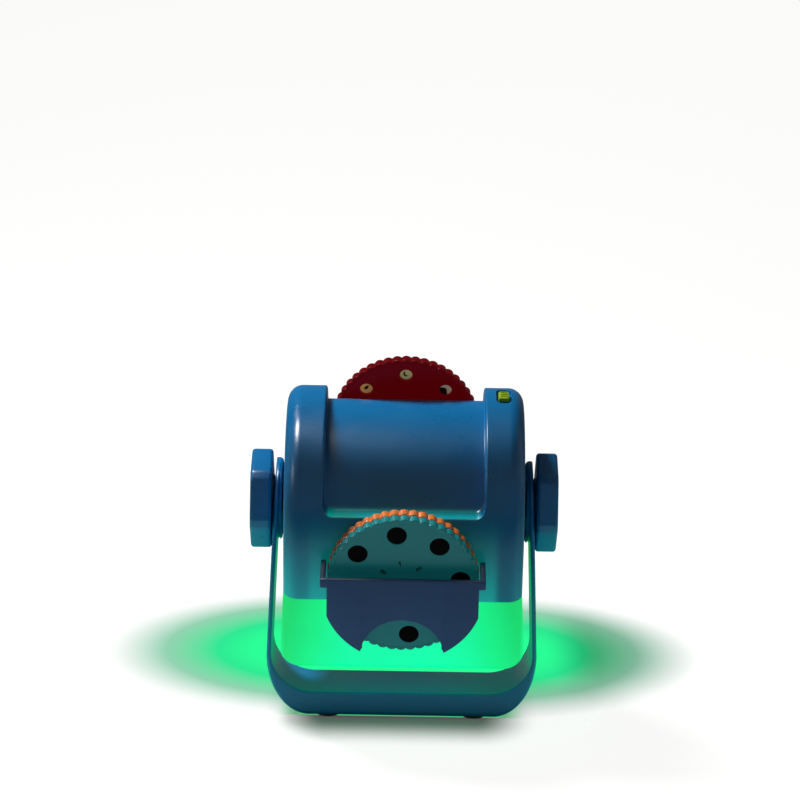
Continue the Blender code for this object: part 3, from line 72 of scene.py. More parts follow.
def srgb(code: str) -> tuple[float, float, float, float]:
    """Linear colour of an sRGB hex code.

    Args:
        code: six hex digits with or without a leading #.

    Returns:
        Red, green, blue and an alpha of one.
    """
    digits = code.lstrip("#")
    shares = [int(digits[i:i + 2], 16) / 255.0 for i in (0, 2, 4)]
    red, green, blue = [s / 12.92 if s <= 0.04045 else ((s + 0.055) / 1.055) ** 2.4
                        for s in shares]
    return red, green, blue, 1.0


def node(tree: bpy.types.NodeTree, kind: Any, settings: dict[str, Any],
         inputs: dict[Any, Any]) -> bpy.types.Node:
    """Add a node, or take one that is there, with its settings, and set or link its inputs.

    Args:
        tree: the node tree.
        kind: the node's type without its prefix, or a node of the tree.
        settings: attributes to set on the node.
        inputs: input name or index, to a value or to an output socket that links there.

    Returns:
        The node.
    """
    made = tree.nodes.new("ShaderNode" + kind) if isinstance(kind, str) else kind
    for name, value in settings.items():
        setattr(made, name, value)
    for name, value in inputs.items():
        if isinstance(value, bpy.types.NodeSocket):
            tree.links.new(value, made.inputs[name])
        else:
            made.inputs[name].default_value = value
    return made


def wire(tree: bpy.types.NodeTree,
         plan: Sequence[tuple[str, Any, dict[str, Any], Any]]) -> dict[str, bpy.types.Node]:
    """Make a whole graph, one node a row, whose inputs may name the outputs of earlier rows.

    Args:
        tree: the node tree.
        plan: rows of a name, the node's kind, its settings, and its inputs in order or by name.
            The input "dim.Result" links to output Result of the row dim, and "dim.0" to its
            first output.

    Returns:
        The nodes by name.
    """
    made: dict[str, bpy.types.Node] = {}
    for name, kind, settings, given in plan:
        inputs = dict(given) if isinstance(given, dict) else dict(enumerate(given))
        for key, value in inputs.items():
            if isinstance(value, str):
                source, socket = value.split(".")
                inputs[key] = made[source].outputs[int(socket) if socket.isdigit() else socket]
        made[name] = node(tree, kind, settings, inputs)
    return made


def noise(size_mm: float, detail: float, **more: float) -> dict[str, Any]:
    """Inputs of a noise texture that lies in the object, by the size of its cells."""
    return {"Vector": "where.Object", "Scale": 1.0 / (size_mm * MM), "Detail": detail, **more}


def bump(source: str, depth_mm: float) -> dict[str, Any]:
    """Inputs of a bump whose height comes from an output, by the depth of its full step."""
    return {"Height": source, "Strength": 1.0, "Distance": depth_mm * MM}


def paint(ramp: bpy.types.Node, stops: Sequence[tuple[float, str]]) -> None:
    """Give a colour ramp its stops.

    Args:
        ramp: the ramp's node.
        stops: place and colour code of each, rising.
    """
    elements = ramp.color_ramp.elements
    while len(elements) < len(stops):
        elements.new(0.5)
    for element, (place, code) in zip(elements, stops):
        element.position = place
        element.color = srgb(code)


def fresh(name: str) -> tuple[bpy.types.Material, bpy.types.NodeTree, bpy.types.Node]:
    """A new material with only its shader and output.

    Args:
        name: the material's name.

    Returns:
        The material, its tree and its Principled shader.
    """
    material = bpy.data.materials.new(name)
    material.use_nodes = True
    tree = material.node_tree
    return material, tree, tree.nodes["Principled BSDF"]


@dataclass(frozen=True)
class MouldedPlastic:
    """Injection-moulded ABS: evenly coloured through, polished tool, faint flow unevenness.

    The satin tool gives broad soft highlights. The fine grain is a 0.5 mm orange peel, drawn
    coarser than the real 0.1 mm so that it shows. A wall over the lamps can carry a painted
    glow, as of their light let through, by a per-point attribute. Clear styrene can carry a
    painted glow of its own colour as emission, as of light that soaked into it.
    """

    name: str
    colour: str
    deep: str
    roughness: float = 0.36
    shine: float = 0.22
    peel: float = 0.006
    grain_mm: float = 0.5
    flow_mm: float = 22.0
    leak: str = ""
    painted_self_glow: float = 0.0

    def build(self) -> bpy.types.Material:
        """Make the material.

        Returns:
            The material.
        """
        material, tree, shader = fresh(self.name)
        low, high = self.roughness - 0.03, self.roughness + 0.05
        wire(tree, [
            ("where", "TexCoord", {}, ()),
            ("flow", "TexNoise", {}, noise(self.flow_mm, 3.0, Roughness=0.55)),
            ("tone", "Mix", RGBA, {"Factor": "flow.Fac", 6: srgb(self.deep),
                                   7: srgb(self.colour)}),
            ("wear", "MapRange", {}, ("flow.Fac", 0.3, 0.7, low, high)),
            ("grain", "TexNoise", {}, noise(self.grain_mm * 4.0, 2.0)),
            ("peel", "Bump", {}, bump("grain.Fac", self.peel)),
            # painted glow: a per-point attribute where the finish gives a glow colour, else a
            # fixed share of its own colour
            ("leak", "Attribute", {"attribute_name": "leak"}, ()),
            ("skin", shader, {}, {"Base Color": "tone.2", "Roughness": "wear.Result",
                                  "Normal": "peel.Normal", "IOR": 1.5,
                                  "Specular IOR Level": self.shine,
                                  "Emission Color": srgb(self.leak or self.colour),
                                  "Emission Strength": "leak.Fac" if self.leak else self.painted_self_glow})])
        return material


@dataclass(frozen=True)
class LitMilkyPlastic:
    """Milky polypropylene lit from inside: the wall glows, brightest where it turns edge-on.

    The glow is an attribute of the surface, worked out from the distance to the lamps inside.
    """

    name: str
    colour: str
    deep: str
    bright: str
    strength: float = 1.0

    def build(self) -> bpy.types.Material:
        """Make the material.

        Returns:
            The material.
        """
        material, tree, shader = fresh(self.name)
        nodes = wire(tree, [
            ("where", "TexCoord", {}, ()),
            ("glow", "Attribute", {"attribute_name": "glow"}, ()),
            ("ramp", "ValToRGB", {}, ("glow.Fac",)),
            ("cloud", "TexNoise", {}, noise(35.0, 2.0)),
            ("even", "MapRange", {}, ("cloud.Fac", 0.3, 0.7, self.strength * 0.96,
                                      self.strength * 1.04)),
            ("skin", shader, {}, {"Base Color": srgb("0A3A24"), "Roughness": 0.5, "IOR": 1.4,
                                  "Emission Color": "ramp.Color",
                                  "Emission Strength": "even.Result"})])
        paint(nodes["ramp"], ((0.0, self.deep), (0.5, self.colour), (1.0, self.bright)))
        return material


@dataclass(frozen=True)
class BurnishedMetal:
    """Plated or turned metal, with fine tool marks round it that stretch its highlights."""

    name: str
    colour: str
    roughness: float = 0.3
    pitch_mm: float = 0.35

    def build(self) -> bpy.types.Material:
        """Make the material.

        Returns:
            The material.
        """
        material, tree, shader = fresh(self.name)
        wire(tree, [
            ("where", "TexCoord", {}, ()),
            ("marks", "TexNoise", {}, noise(self.pitch_mm * 4.0, 3.0)),
            ("span", "MapRange", {}, ("marks.Fac", 0.0, 1.0, self.roughness - 0.08,
                                      self.roughness + 0.1)),
            ("cut", "Bump", {}, bump("marks.Fac", 0.004)),
            ("skin", shader, {}, {"Base Color": srgb(self.colour), "Metallic": 1.0,
                                  "Roughness": "span.Result", "Normal": "cut.Normal"})])
        return material


@dataclass(frozen=True)
class SoftRubber:
    """Moulded nitrile rubber: matt, with a dusty bloom in patches."""

    name: str
    colour: str

    def build(self) -> bpy.types.Material:
        """Make the material.

        Returns:
            The material.
        """
        material, tree, shader = fresh(self.name)
        wire(tree, [
            ("where", "TexCoord", {}, ()),
            ("bloom", "TexNoise", {}, noise(3.0, 4.0)),
            ("tone", "Mix", RGBA, {"Factor": "bloom.Fac", 6: srgb(self.colour),
                                   7: srgb("3A3A3C")}),
            ("dust", "Bump", {}, bump("bloom.Fac", 0.02)),
            ("skin", shader, {}, {"Base Color": "tone.2", "Roughness": 0.75,
                                  "Normal": "dust.Normal"})])
        return material


@dataclass(frozen=True)
class SolderMaskBoard:
    """Glass-epoxy board under green solder mask, with copper tracks that show as paler lines."""

    name: str
    colour: str = "0C5A33"
    track: str = "2E8A55"

    def build(self) -> bpy.types.Material:
        """Make the material.

        Returns:
            The material.
        """
        material, tree, shader = fresh(self.name)
        wire(tree, [
            ("where", "TexCoord", {}, ()),
            ("cells", "TexVoronoi", {"distance": "MANHATTAN", "feature": "F2"},
             {"Vector": "where.Object", "Scale": 1.0 / (6.0 * MM)}),
            ("tracks", "Math", {"operation": "PINGPONG"}, ("cells.Distance", 0.12)),
            ("line", "Math", {"operation": "GREATER_THAN"}, ("tracks.0", 0.085)),
            ("tone", "Mix", RGBA, {"Factor": "line.0", 6: srgb(self.colour),
                                   7: srgb(self.track)}),
            ("step", "Bump", {}, bump("line.0", 0.03)),
            ("skin", shader, {}, {"Base Color": "tone.2", "Roughness": 0.35,
                                  "Normal": "step.Normal"})])
        return material


@dataclass(frozen=True)
class ClearAcrylic:
    """Polished moulded acrylic, as in a small lens: clear, with a faint haze of dust."""

    name: str
    colour: str = "F2FAFF"

    def build(self) -> bpy.types.Material:
        """Make the material.

        Returns:
            The material.
        """
        material, tree, shader = fresh(self.name)
        wire(tree, [
            ("where", "TexCoord", {}, ()),
            ("dust", "TexNoise", {}, noise(4.0, 4.0)),
            ("haze", "MapRange", {}, ("dust.Fac", 0.5, 0.8, 0.01, 0.06)),
            ("skin", shader, {}, {"Base Color": srgb(self.colour), "Roughness": "haze.Result",
                                  "IOR": 1.49, "Transmission Weight": 1.0})])
        return material


@dataclass(frozen=True)
class PictureFilm:
    """Small slide pictures on clear polyester: glossy, coloured by an attribute of the film."""

    name: str
    glow: float = 0.0

    def build(self) -> bpy.types.Material:
        """Make the material.

        Returns:
            The material.
        """
        material, tree, shader = fresh(self.name)
        wire(tree, [
            ("where", "TexCoord", {}, ()),
            ("ink", "Attribute", {"attribute_name": "ink"}, ()),
            ("dye", "TexNoise", {}, noise(1.2, 2.0)),
            ("tone", "Mix", TINT, {"Factor": 0.25, 6: "ink.Color", 7: "dye.Color"}),
            ("skin", shader, {}, {"Base Color": "tone.2", "Emission Color": "tone.2",
                                  "Emission Strength": self.glow, "Roughness": 0.3,
                                  "Specular IOR Level": 0.1 if self.glow else 0.03})])
        return material


class Finish(Enum):
    """The finishes of the projector, by what each is made of."""

    BLUE_ABS = MouldedPlastic("blue_abs", "0072AA", "0068A2", roughness=0.3, shine=0.34,
                              peel=0.0015)
    # The shells' copy of the blue carries painted glow of the lamps, low on the wall and on the
    # deck's ledge
    SHELL_ABS = MouldedPlastic("shell_abs", "0072AA", "0068A2", roughness=0.28, shine=0.34,
                               peel=0.0012, leak="008A78")
    NAVY_ABS = MouldedPlastic("navy_abs", "285A90", "225184", roughness=0.5, shine=0.34)
    LIME_ABS = MouldedPlastic("lime_abs", "93B428", "84A61E", roughness=0.3)
    # The red and teal discs carry painted glow in their own colour, with their bases darkened
    # under it
    RED_STYRENE = MouldedPlastic("red_styrene", "560106", "4C0004", roughness=0.22, shine=0.12,
                                 painted_self_glow=0.66)
    ORANGE_STYRENE = MouldedPlastic("orange_styrene", "F0853C", "E67830", roughness=0.25,
                                    shine=0.5)
    TEAL_STYRENE = MouldedPlastic("teal_styrene", "1A8488", "167A7E", roughness=0.28, shine=0.3,
                                  painted_self_glow=0.16)
    BLACK_ABS = MouldedPlastic("black_abs", "1C1C1E", "141416", roughness=0.5)
    MILKY_GREEN = LitMilkyPlastic("milky_green", "00EE86", "00D26A", "00FCAC")
    PLATED_STEEL = BurnishedMetal("plated_steel", "B8BABD")
    TURNED_BRASS = BurnishedMetal("turned_brass", "C9A24A", 0.28)
    NITRILE = SoftRubber("nitrile_rubber", "202022")
    BOARD = SolderMaskBoard("solder_mask_board")
    LENS_ACRYLIC = ClearAcrylic("lens_acrylic")
    CELL_SLEEVE = MouldedPlastic("cell_sleeve", "30445E", "2A3C54", roughness=0.22)
    LAMP_RESIN = MouldedPlastic("lamp_resin", "F4EECF", "E8E0BC", roughness=0.15)
    FILM = PictureFilm("picture_film")
    LIT_FILM = PictureFilm("lit_picture_film", 0.35)


class Finishes:
    """Materials of the finishes, each made once when first asked for."""

    def __init__(self) -> None:
        """Start with none made."""
        self.made: dict[Finish, bpy.types.Material] = {}

    def __getitem__(self, finish: Finish) -> bpy.types.Material:
        """The material of a finish.

        Args:
            finish: which finish.

        Returns:
            Its material, made now if it is asked for the first time.
        """
        if finish not in self.made:
            self.made[finish] = finish.value.build()
        return self.made[finish]


def level(points: np.ndarray) -> np.ndarray:
    """World millimetres to world metres, for pieces of the stand."""
    return points * MM


def tilted(points: np.ndarray) -> np.ndarray:
    """Head millimetres to world metres: turned about X by the tilt, then raised to the pivot.

    Args:
        points: (..., 3) across, along the lens and up.

    Returns:
        (..., 3) metres in the frame.
    """
    across, along, up = points[..., 0], points[..., 1], points[..., 2]
    cos, sin = math.cos(HEAD_TILT), math.sin(HEAD_TILT)
    placed = np.stack([across, along * cos - up * sin,
                       PIVOT_HEIGHT + along * sin + up * cos], axis=-1)
    return placed * MM


def joined(index: np.ndarray) -> np.ndarray:
    """Quads between the neighbours in a grid of point numbers."""
    return np.stack([index[:-1, :-1], index[:-1, 1:], index[1:, 1:], index[1:, :-1]],
                    axis=-1).reshape(-1, 4)


def fan(loop: np.ndarray) -> np.ndarray:
    """A two-row grid that closes a loop by faces from its mean point."""
    return np.stack([np.broadcast_to(loop.mean(axis=0), loop.shape), loop])


def spin(degrees: float) -> np.ndarray:
    """A matrix for rows of (x, z), which turns them clockwise as seen from behind.

    Args:
        degrees: how far.

    Returns:
        (2, 2), to stand after the rows.
    """
    angle = math.radians(degrees)
    return np.array([[math.cos(angle), -math.sin(angle)], [math.sin(angle), math.cos(angle)]])


def eased(share: np.ndarray) -> np.ndarray:
    """A share from 0 to 1 with soft ends, 3 s^2 - 2 s^3."""
    return share * share * (3.0 - 2.0 * share)


class Patchwork:
    """Grids of points gathered into one mesh, with one value per point if a piece needs it."""

    def __init__(self, place: Callable[[np.ndarray], np.ndarray] = tilted) -> None:
        """Start empty.

        Args:
            place: turns the piece's own millimetres into metres in the frame.
        """
        self.place = place
        self.points: list[np.ndarray] = []
        self.faces: list[np.ndarray] = []
        self.values: list[np.ndarray] = []
        self.count = 0

    def add(self, grid: np.ndarray, flip: bool = False, close_rows: bool = False,
            close_cols: bool = False, value: np.ndarray | None = None) -> None:
        """Add a grid: a quad joins each point to the next in its row and its column.

        Args:
            grid: points as (rows, columns, 3).
            flip: turn the faces over.
            close_rows: join the last row to the first.
            close_cols: join the last column to the first.
            value: one number or colour for each point.
        """
        rows, cols = grid.shape[:2]
        index = np.arange(rows * cols).reshape(rows, cols) + self.count
        if close_rows:
            index = np.concatenate([index, index[:1]], axis=0)
        if close_cols:
            index = np.concatenate([index, index[:, :1]], axis=1)
        quads = joined(index)
        self.faces.append(quads[:, ::-1] if flip else quads)
        self.points.append(grid.reshape(-1, 3))
        if value is not None:
            self.values.append(np.asarray(value, float).reshape(rows * cols, -1))
        self.count += rows * cols

    def open_round(self, radius: float, beyond: float) -> None:
        """Drop the faces that lie within a radius of the lens axis.

        Args:
            radius: faces with every corner nearer to the axis than this go.
            beyond: only where the corners lie farther along the axis than this.
        """
        points = np.concatenate(self.points)
        inside = (np.hypot(points[:, 0], points[:, 2]) < radius) & (points[:, 1] > beyond)
        self.faces = [quads[~inside[quads].all(axis=1)] for quads in self.faces]

    def build(self, name: str, material: bpy.types.Material, body: str, slot: str,
              weld_mm: float = 0.004, attribute: str = "", outward: bool = False,
              sharp: float = 38.0) -> bpy.types.Object:
        """Make the object, weld its seams and poles, and let it ride.

        Args:
            name: the object's name.
            material: its material.
            body: the body it rides on.
            slot: not used.
            weld_mm: points nearer than this become one.
            attribute: name for the values, if it has them.
            outward: work the faces' direction out anew, for closed shapes.
            sharp: edges that turn by more degrees than this stay sharp.

        Returns:
            The object, at the origin, its place in its mesh.
        """
        points = self.place(np.concatenate(self.points))
        faces = np.concatenate(self.faces)
        mesh = bpy.data.meshes.new(name)
        mesh.vertices.add(len(points))
        mesh.vertices.foreach_set("co", points.astype(np.float32).ravel())
        mesh.loops.add(faces.size)
        mesh.loops.foreach_set("vertex_index", faces.astype(np.int32).ravel())
        mesh.polygons.add(len(faces))
        mesh.polygons.foreach_set("loop_start", np.arange(0, faces.size, 4, dtype=np.int32))
        mesh.update(calc_edges=True)
        if attribute:
            values = np.concatenate(self.values)
            scalar = values.shape[1] == 1
            layer = mesh.attributes.new(attribute, "FLOAT" if scalar else "FLOAT_COLOR", "POINT")
            layer.data.foreach_set("value" if scalar else "color",
                                   values.astype(np.float32).ravel())
        piece = bpy.data.objects.new(name, mesh)
        bpy.context.scene.collection.objects.link(piece)
        tidy_mesh(mesh, weld_mm, outward)
        mesh.shade_smooth()
        mesh.set_sharp_from_angle(angle=math.radians(sharp))
        mesh.materials.append(material)
        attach(piece, body)
        LOG.info("%s: %d faces, rides on %s", name, len(mesh.polygons), body)
        return piece


def tidy_mesh(mesh: bpy.types.Mesh, weld_mm: float, outward: bool) -> None:
    """Weld close points, drop faces without area and, if asked, point closed shapes outward.

    Args:
        mesh: the mesh, changed in place.
        weld_mm: points nearer than this become one.
        outward: work the faces' direction out anew.
    """
    form = bmesh.new()
    form.from_mesh(mesh)
    bmesh.ops.remove_doubles(form, verts=form.verts, dist=weld_mm * MM)
    bmesh.ops.dissolve_degenerate(form, dist=weld_mm * 0.5 * MM, edges=form.edges)
    if outward:
        bmesh.ops.recalc_face_normals(form, faces=form.faces)
    form.to_mesh(mesh)
    form.free()


def corner(radius: float, start: float, end: float, steps: int,
           centre: Pair) -> np.ndarray:
    """Points on an arc in a plane: centre plus radius times (cos, sin).

    Args:
        radius: of the arc.
        start: first angle, in degrees.
        end: last angle, in degrees.
        steps: parts of the arc.
        centre: of the arc.

    Returns:
        (steps + 1, 2) points.
    """
    angle = np.radians(np.linspace(start, end, steps + 1))
    return np.stack([centre[0] + radius * np.cos(angle), centre[1] + radius * np.sin(angle)],
                    axis=-1)


def rounded_box_loop(low: Pair, high: Pair, radius: float, steps: int = 4) -> np.ndarray:
    """A rectangle with round corners as a closed loop: four quarter arcs, one after another.

    Args:
        low: least corner.
        high: greatest corner.
        radius: of the arcs.
        steps: parts of each arc.

    Returns:
        (4 * steps + 4, 2) points.
    """
    (x0, y0), (x1, y1) = (low[0] + radius, low[1] + radius), (high[0] - radius, high[1] - radius)
    middles = ((x1, y1), (x0, y1), (x0, y0), (x1, y0))
    return np.concatenate([corner(radius, 90.0 * k, 90.0 * k + 90.0, steps, middle)
                           for k, middle in enumerate(middles)])


def spread(stops: Sequence[Pair]) -> np.ndarray:
    """Joined even runs of numbers.

    Args:
        stops: (value, step) pairs: each run goes to the next value in about that step.

    Returns:
        The rising or falling values from the first stop to the last.
    """
    runs = [np.array([stops[0][0]])]
    for (start, step), (end, _) in zip(stops, stops[1:]):
        count = max(1, int(round(abs(end - start) / step)))
        runs.append(np.linspace(start, end, count + 1)[1:])
    return np.concatenate(runs)


def softened(value: np.ndarray, low: Any, high: Any, low_round: float,
             high_round: float) -> np.ndarray:
    """A clamp between two limits, whose corners are hyperbolas.

    Args:
        value: numbers to clamp.
        low: least value.
        high: greatest value.
        low_round: width of the corner at the least value.
        high_round: width of the corner at the greatest.

    Returns:
        The clamped numbers.
    """
    raised = 0.5 * (value + low + np.sqrt((value - low) ** 2 + low_round ** 2))
    return 0.5 * (raised + high - np.sqrt((raised - high) ** 2 + high_round ** 2))


def revolve(profile: np.ndarray, centre: Point, axis: str, steps: int) -> np.ndarray:
    """Turn a profile of (radius, height) about an axis: rows follow the profile.

    Args:
        profile: (n, 2) radii and heights.
        centre: a point on the axis, from which heights count.
        axis: "x", "y" or "z".
        steps: points round the turn.

    Returns:
        A grid whose columns close on themselves.
    """
    angle = np.linspace(0.0, math.tau, steps, endpoint=False)
    first = profile[:, :1] * np.cos(angle)
    second = profile[:, :1] * np.sin(angle)
    along = np.broadcast_to(profile[:, 1:], first.shape)
    order = {"x": (along, first, second), "y": (second, along, first),
             "z": (first, second, along)}[axis]
    return np.stack(order, axis=-1) + np.array(centre)


@dataclass
class HeadShells:
    """The two blue shells of the head: one surface, split by a plane behind the disc's slot.

    Across the head runs a section of (x, drop): how far each point lies below the drum's
    radius. It is carried along the D-shaped side outline by r = radius - drop. Between the
    cheeks r is also held to z / sin(angle), the height of a level ledge, clamped to the deck's
    radius, which gives the scooped deck, its ledges and its round lower corners in one formula.
    """

    radius: float = 53.0
    half: float = 54.6
    fillet: float = 7.0
    bottom: float = -22.0
    split: float = 24.85
    deck_radius: float = 46.9
    deck_half: float = 36.5
    rear_ledge: float = 19.4
    front_ledge: float = 24.0
    deck_corner: float = 4.5
    edge: float = 0.9
    slot_front: float = 30.2
    slot_half: float = 34.9
    bore: float = 18.8
    wall: float = 2.2
    root: float = 0.5
    fine: float = 0.32
    coarse: float = 1.6
    # The switch's oval well: reach round its middle line, that line's half length, and depth
    switch_x: float = 45.2
    switch_forward: float = 8.2
    well_reach: float = 3.6
    well_half: float = 4.9
    well_depth: float = 1.9
    # The screw wells, and how far along the lens their seats lie
    screw_x: float = 48.8
    screw_reach: float = 3.4
    screw_heights: Pair = (34.0, -14.0)
    screw_seats: Pair = (33.5, 47.5)
    # Painted glow of lamp light on the wall: the height it climbs, and from and to where it is
    # painted weaker
    painted_glow_height: float = 46.0
    dimmed_span: Pair = (42.5, 51.0)

    def section(self) -> tuple[np.ndarray, np.ndarray, np.ndarray]:
        """The section across the head, left to right.

        Returns:
            x, drop below the radius, and kind: 0 on a cheek, 1 on a cheek's inner edge, 2 on
            the wall's foot or the deck.
        """
        turn = np.radians(np.linspace(90.0, 0.0, 37))
        cheek = self.half - self.fillet
        outer = np.stack([cheek + self.fillet * np.sin(turn),
                          self.fillet * (1.0 - np.cos(turn)), 0 * turn], axis=-1)
        flat = spread([(cheek, self.fine), (self.deck_half + self.edge, self.fine)])[1:]
        flat = np.stack([flat, 0 * flat, 0 * flat], axis=-1)
        swing = np.radians(np.linspace(0.0, 90.0, 7))[1:]
        inner = np.stack([self.deck_half + self.edge * (1.0 - np.sin(swing)),
                          self.edge * (1.0 - np.cos(swing)), 0 * swing + 1.0], axis=-1)
        foot = np.radians(np.linspace(0.0, 90.0, 5))
        root = np.stack([self.deck_half - self.root * (1.0 - np.cos(foot)),
                         -self.root * (1.0 - np.sin(foot)), 0 * foot + 2.0], axis=-1)
        deck = spread([(self.deck_half - self.root, 0.4), (self.deck_half - 6.0, self.coarse),
                       (0.0, self.coarse)])[1:]
        deck = np.stack([deck, 0 * deck, 0 * deck + 2.0], axis=-1)
        right = np.concatenate([outer, flat, inner, root, deck])
        left = right.copy()
        left[:, 0] *= -1.0
        whole = np.concatenate([left[:-1], right[::-1]])
        return whole[:, 0], whole[:, 1], whole[:, 2]

    def deck(self, x: np.ndarray, sine: np.ndarray, ledge: float) -> np.ndarray:
        """Radius of the deck: a level ledge z / sin(angle), clamped between deck and drum.

        Args:
            x: place across.
            sine: of each row's angle.
            ledge: height of the ledge over the pivot.

        Returns:
            A radius for each row and column.
        """
        inset = np.clip(np.abs(x) - (self.deck_half - self.deck_corner), 0.0, self.deck_corner)
        rise = self.deck_corner - np.sqrt(self.deck_corner ** 2 - inset ** 2)
        level_ledge = (ledge + rise) / np.maximum(sine, 0.02)
        return softened(level_ledge, self.deck_radius, self.radius, 1.5, 0.9)

    def radii(self, x: np.ndarray, drop: np.ndarray, kind: np.ndarray, sine: np.ndarray,
              front: bool) -> np.ndarray:
        """Distance of the skin from the outline's spine.

        Args:
            x: place across of each column.
            drop: each column's drop, from section.
            kind: each column's kind, from section.
            sine: of each row's angle.
            front: on the lens side.

        Returns:
            A radius for each row and column.
        """
        ledge = self.front_ledge if front else self.rear_ledge
        plain = self.radius - drop + 0.0 * sine
        side = self.deck(np.full_like(x, self.deck_half), sine, ledge)
        inner = self.deck(x, sine, ledge)
        rim = np.maximum(self.radius - drop, side)
        floor = np.minimum(inner - drop, self.radius)
        return np.where(kind < 0.5, plain, np.where(kind < 1.5, rim, floor))

    def skin(self, path: np.ndarray, front: bool, shrink: float = 0.0) -> np.ndarray:
        """Points of the skin: spine point plus r times the outline's outward direction.

        Args:
            path: (rows, columns) distance below the pivot's height where negative, and angle in
                degrees above it where positive.
            front: on the lens side.
            shrink: taken off r, for the wall's inside.

        Returns:
            (rows, columns, 3) head millimetres.
        """
        x, drop, kind = self.section()
        angle = np.radians(np.maximum(path, 0.0))
        sine, cosine = np.sin(angle), np.cos(angle)
        r = self.radii(x[None, :], drop[None, :], kind[None, :], sine, front) - shrink
        way = 1.0 if front else -1.0
        along, up = way * r * cosine, r * sine + np.minimum(path, 0.0)
        points = np.stack([np.broadcast_to(x[None, :], r.shape) + 0.0, along, up], axis=-1)
        return self.dented(points, front)

    def dented(self, points: np.ndarray, front: bool) -> np.ndarray:
        """Sink the switch's oval well, and in front the four screw wells, into the skin.

        Args:
            points: (rows, columns, 3) of the skin.
            front: on the lens side.

        Returns:
            The points, moved.
        """
        x, along, up = points[..., 0], points[..., 1], points[..., 2]
        theta = math.radians(90.0 - self.switch_forward)
        tangent = along * math.sin(theta) - up * math.cos(theta)
        outward = along * math.cos(theta) + up * math.sin(theta)
        reach = np.hypot(x - self.switch_x, np.maximum(np.abs(tangent) - self.well_half, 0.0))
        well = np.clip((self.well_reach - reach) / 0.35, 0.0, 1.0) * (outward > 40.0)
        lip = self.well_depth * eased(well)
        along = along - lip * math.cos(theta)
        up = up - lip * math.sin(theta)
        if front:
            for height_mm, seat in zip(self.screw_heights, self.screw_seats):
                near = np.hypot(np.abs(x) - self.screw_x, up - height_mm)
                hole = np.clip((self.screw_reach - near) / 0.7, 0.0, 1.0) * (along > 24.0)
                along = along + (np.minimum(along, seat) - along) * eased(hole)
        return np.stack([x, along, up], axis=-1)

    def rows(self, front: bool) -> np.ndarray:
        """Row values: rising from the lower edge to the pivot's height, then angles.

        Args:
            front: on the lens side, whose rows lie close over the screw wells and the deck.

        Returns:
            Heights up to zero, then degrees.
        """
        ledge = self.front_ledge if front else self.rear_ledge
        low = math.degrees(math.asin(ledge / self.radius)) - 1.5
        high = math.degrees(math.asin((ledge + self.deck_corner) / self.deck_radius)) + 2.0
        if front:
            below = spread([(self.bottom, 1.5), (-18.0, self.fine), (-10.0, self.coarse),
                            (0.0, self.coarse)])
            above = spread([(0.0, 1.8), (24.0, self.fine), (46.0, self.fine), (56.0, 0.5)])
        else:
            below = spread([(self.bottom, 1.8), (0.0, 1.8)])
            above = spread([(0.0, 1.6), (low, 0.3), (high, 1.5), (66.0, 1.5), (80.0, 1.5)])
        return np.concatenate([below, above[1:]])

    def leak(self, grid: np.ndarray) -> np.ndarray:
        """Painted glow, as of lamp light through the lower wall, weaker out at the sides.

        The deck's ledge gets painted light too, the more the farther out.

        Args:
            grid: (..., 3) points of the skin.

        Returns:
            (...) strength of the painted glow.
        """
        x, along, up = grid[..., 0], grid[..., 1], grid[..., 2]
        rise = np.clip((up - self.bottom) / self.painted_glow_height, 0.0, 1.0)
        beyond = 1.0 / (1.0 + np.exp(-(np.abs(x) - self.dimmed_span[0]) / 0.7))
        inside = 1.0 / (1.0 + np.exp((np.abs(x) - self.dimmed_span[1]) / 1.2))
        # painted shade in the glow: weaker from 42.5 mm outward on the right, and from 42.5 to 51
        # mm on the left
        shade = np.where(x > 0.0, 0.8 * beyond, 0.5 * beyond * inside)
        spill = (1.0 - rise) ** 1.6 * (1.0 - shade)
        # painted light on the deck's ledge
        on_ledge = np.exp(-((up - self.rear_ledge - 0.2) / 0.7) ** 2) * (along < -42.0)
        between = np.abs(x) < self.deck_half - 0.3
        depth = np.hypot(along, up)
        out = np.clip((depth - self.deck_radius - 0.6) / 4.2, 0.0, 1.0)
        return spill + (0.3 + 0.6 * out) * on_ledge * between * (depth < self.radius - 0.15)

    def build_rear(self, material: bpy.types.Material) -> bpy.types.Object:
        """The rear shell, from its lower edge over the drum to the split plane.

        Args:
            material: the piece's material.

        Returns:
            The object, riding on its body.
        """
        x, drop, kind = self.section()
        rows = np.concatenate([self.rows(False), spread([(80.0, 1.2), (90.0, 1.2)])[1:]])
        rear = self.skin(np.repeat(rows[:, None], len(x), axis=1), False)
        r_top = self.radii(x, drop, kind, np.ones_like(x), True)
        end = np.degrees(np.arcsin(np.clip(self.split / r_top, -1.0, 1.0)))
        share = np.linspace(0.0, 1.0, 46)[:, None]
        front_part = self.skin(90.0 - share * end[None, :], True)
        edge = self.skin(np.repeat((90.0 - end)[None, :], 2, axis=0), True, self.wall)
        edge[0] = front_part[-1]
        edge[1, :, 1] = front_part[-1, :, 1]
        patch = Patchwork()
        whole = np.concatenate([rear, front_part[1:], edge[1:]])
        patch.add(whole, value=self.leak(whole))
        self.add_sides(patch, rear=True)
        return patch.build("rear_shell_skin", material, "head", "blue_plastic",
                           attribute="leak")

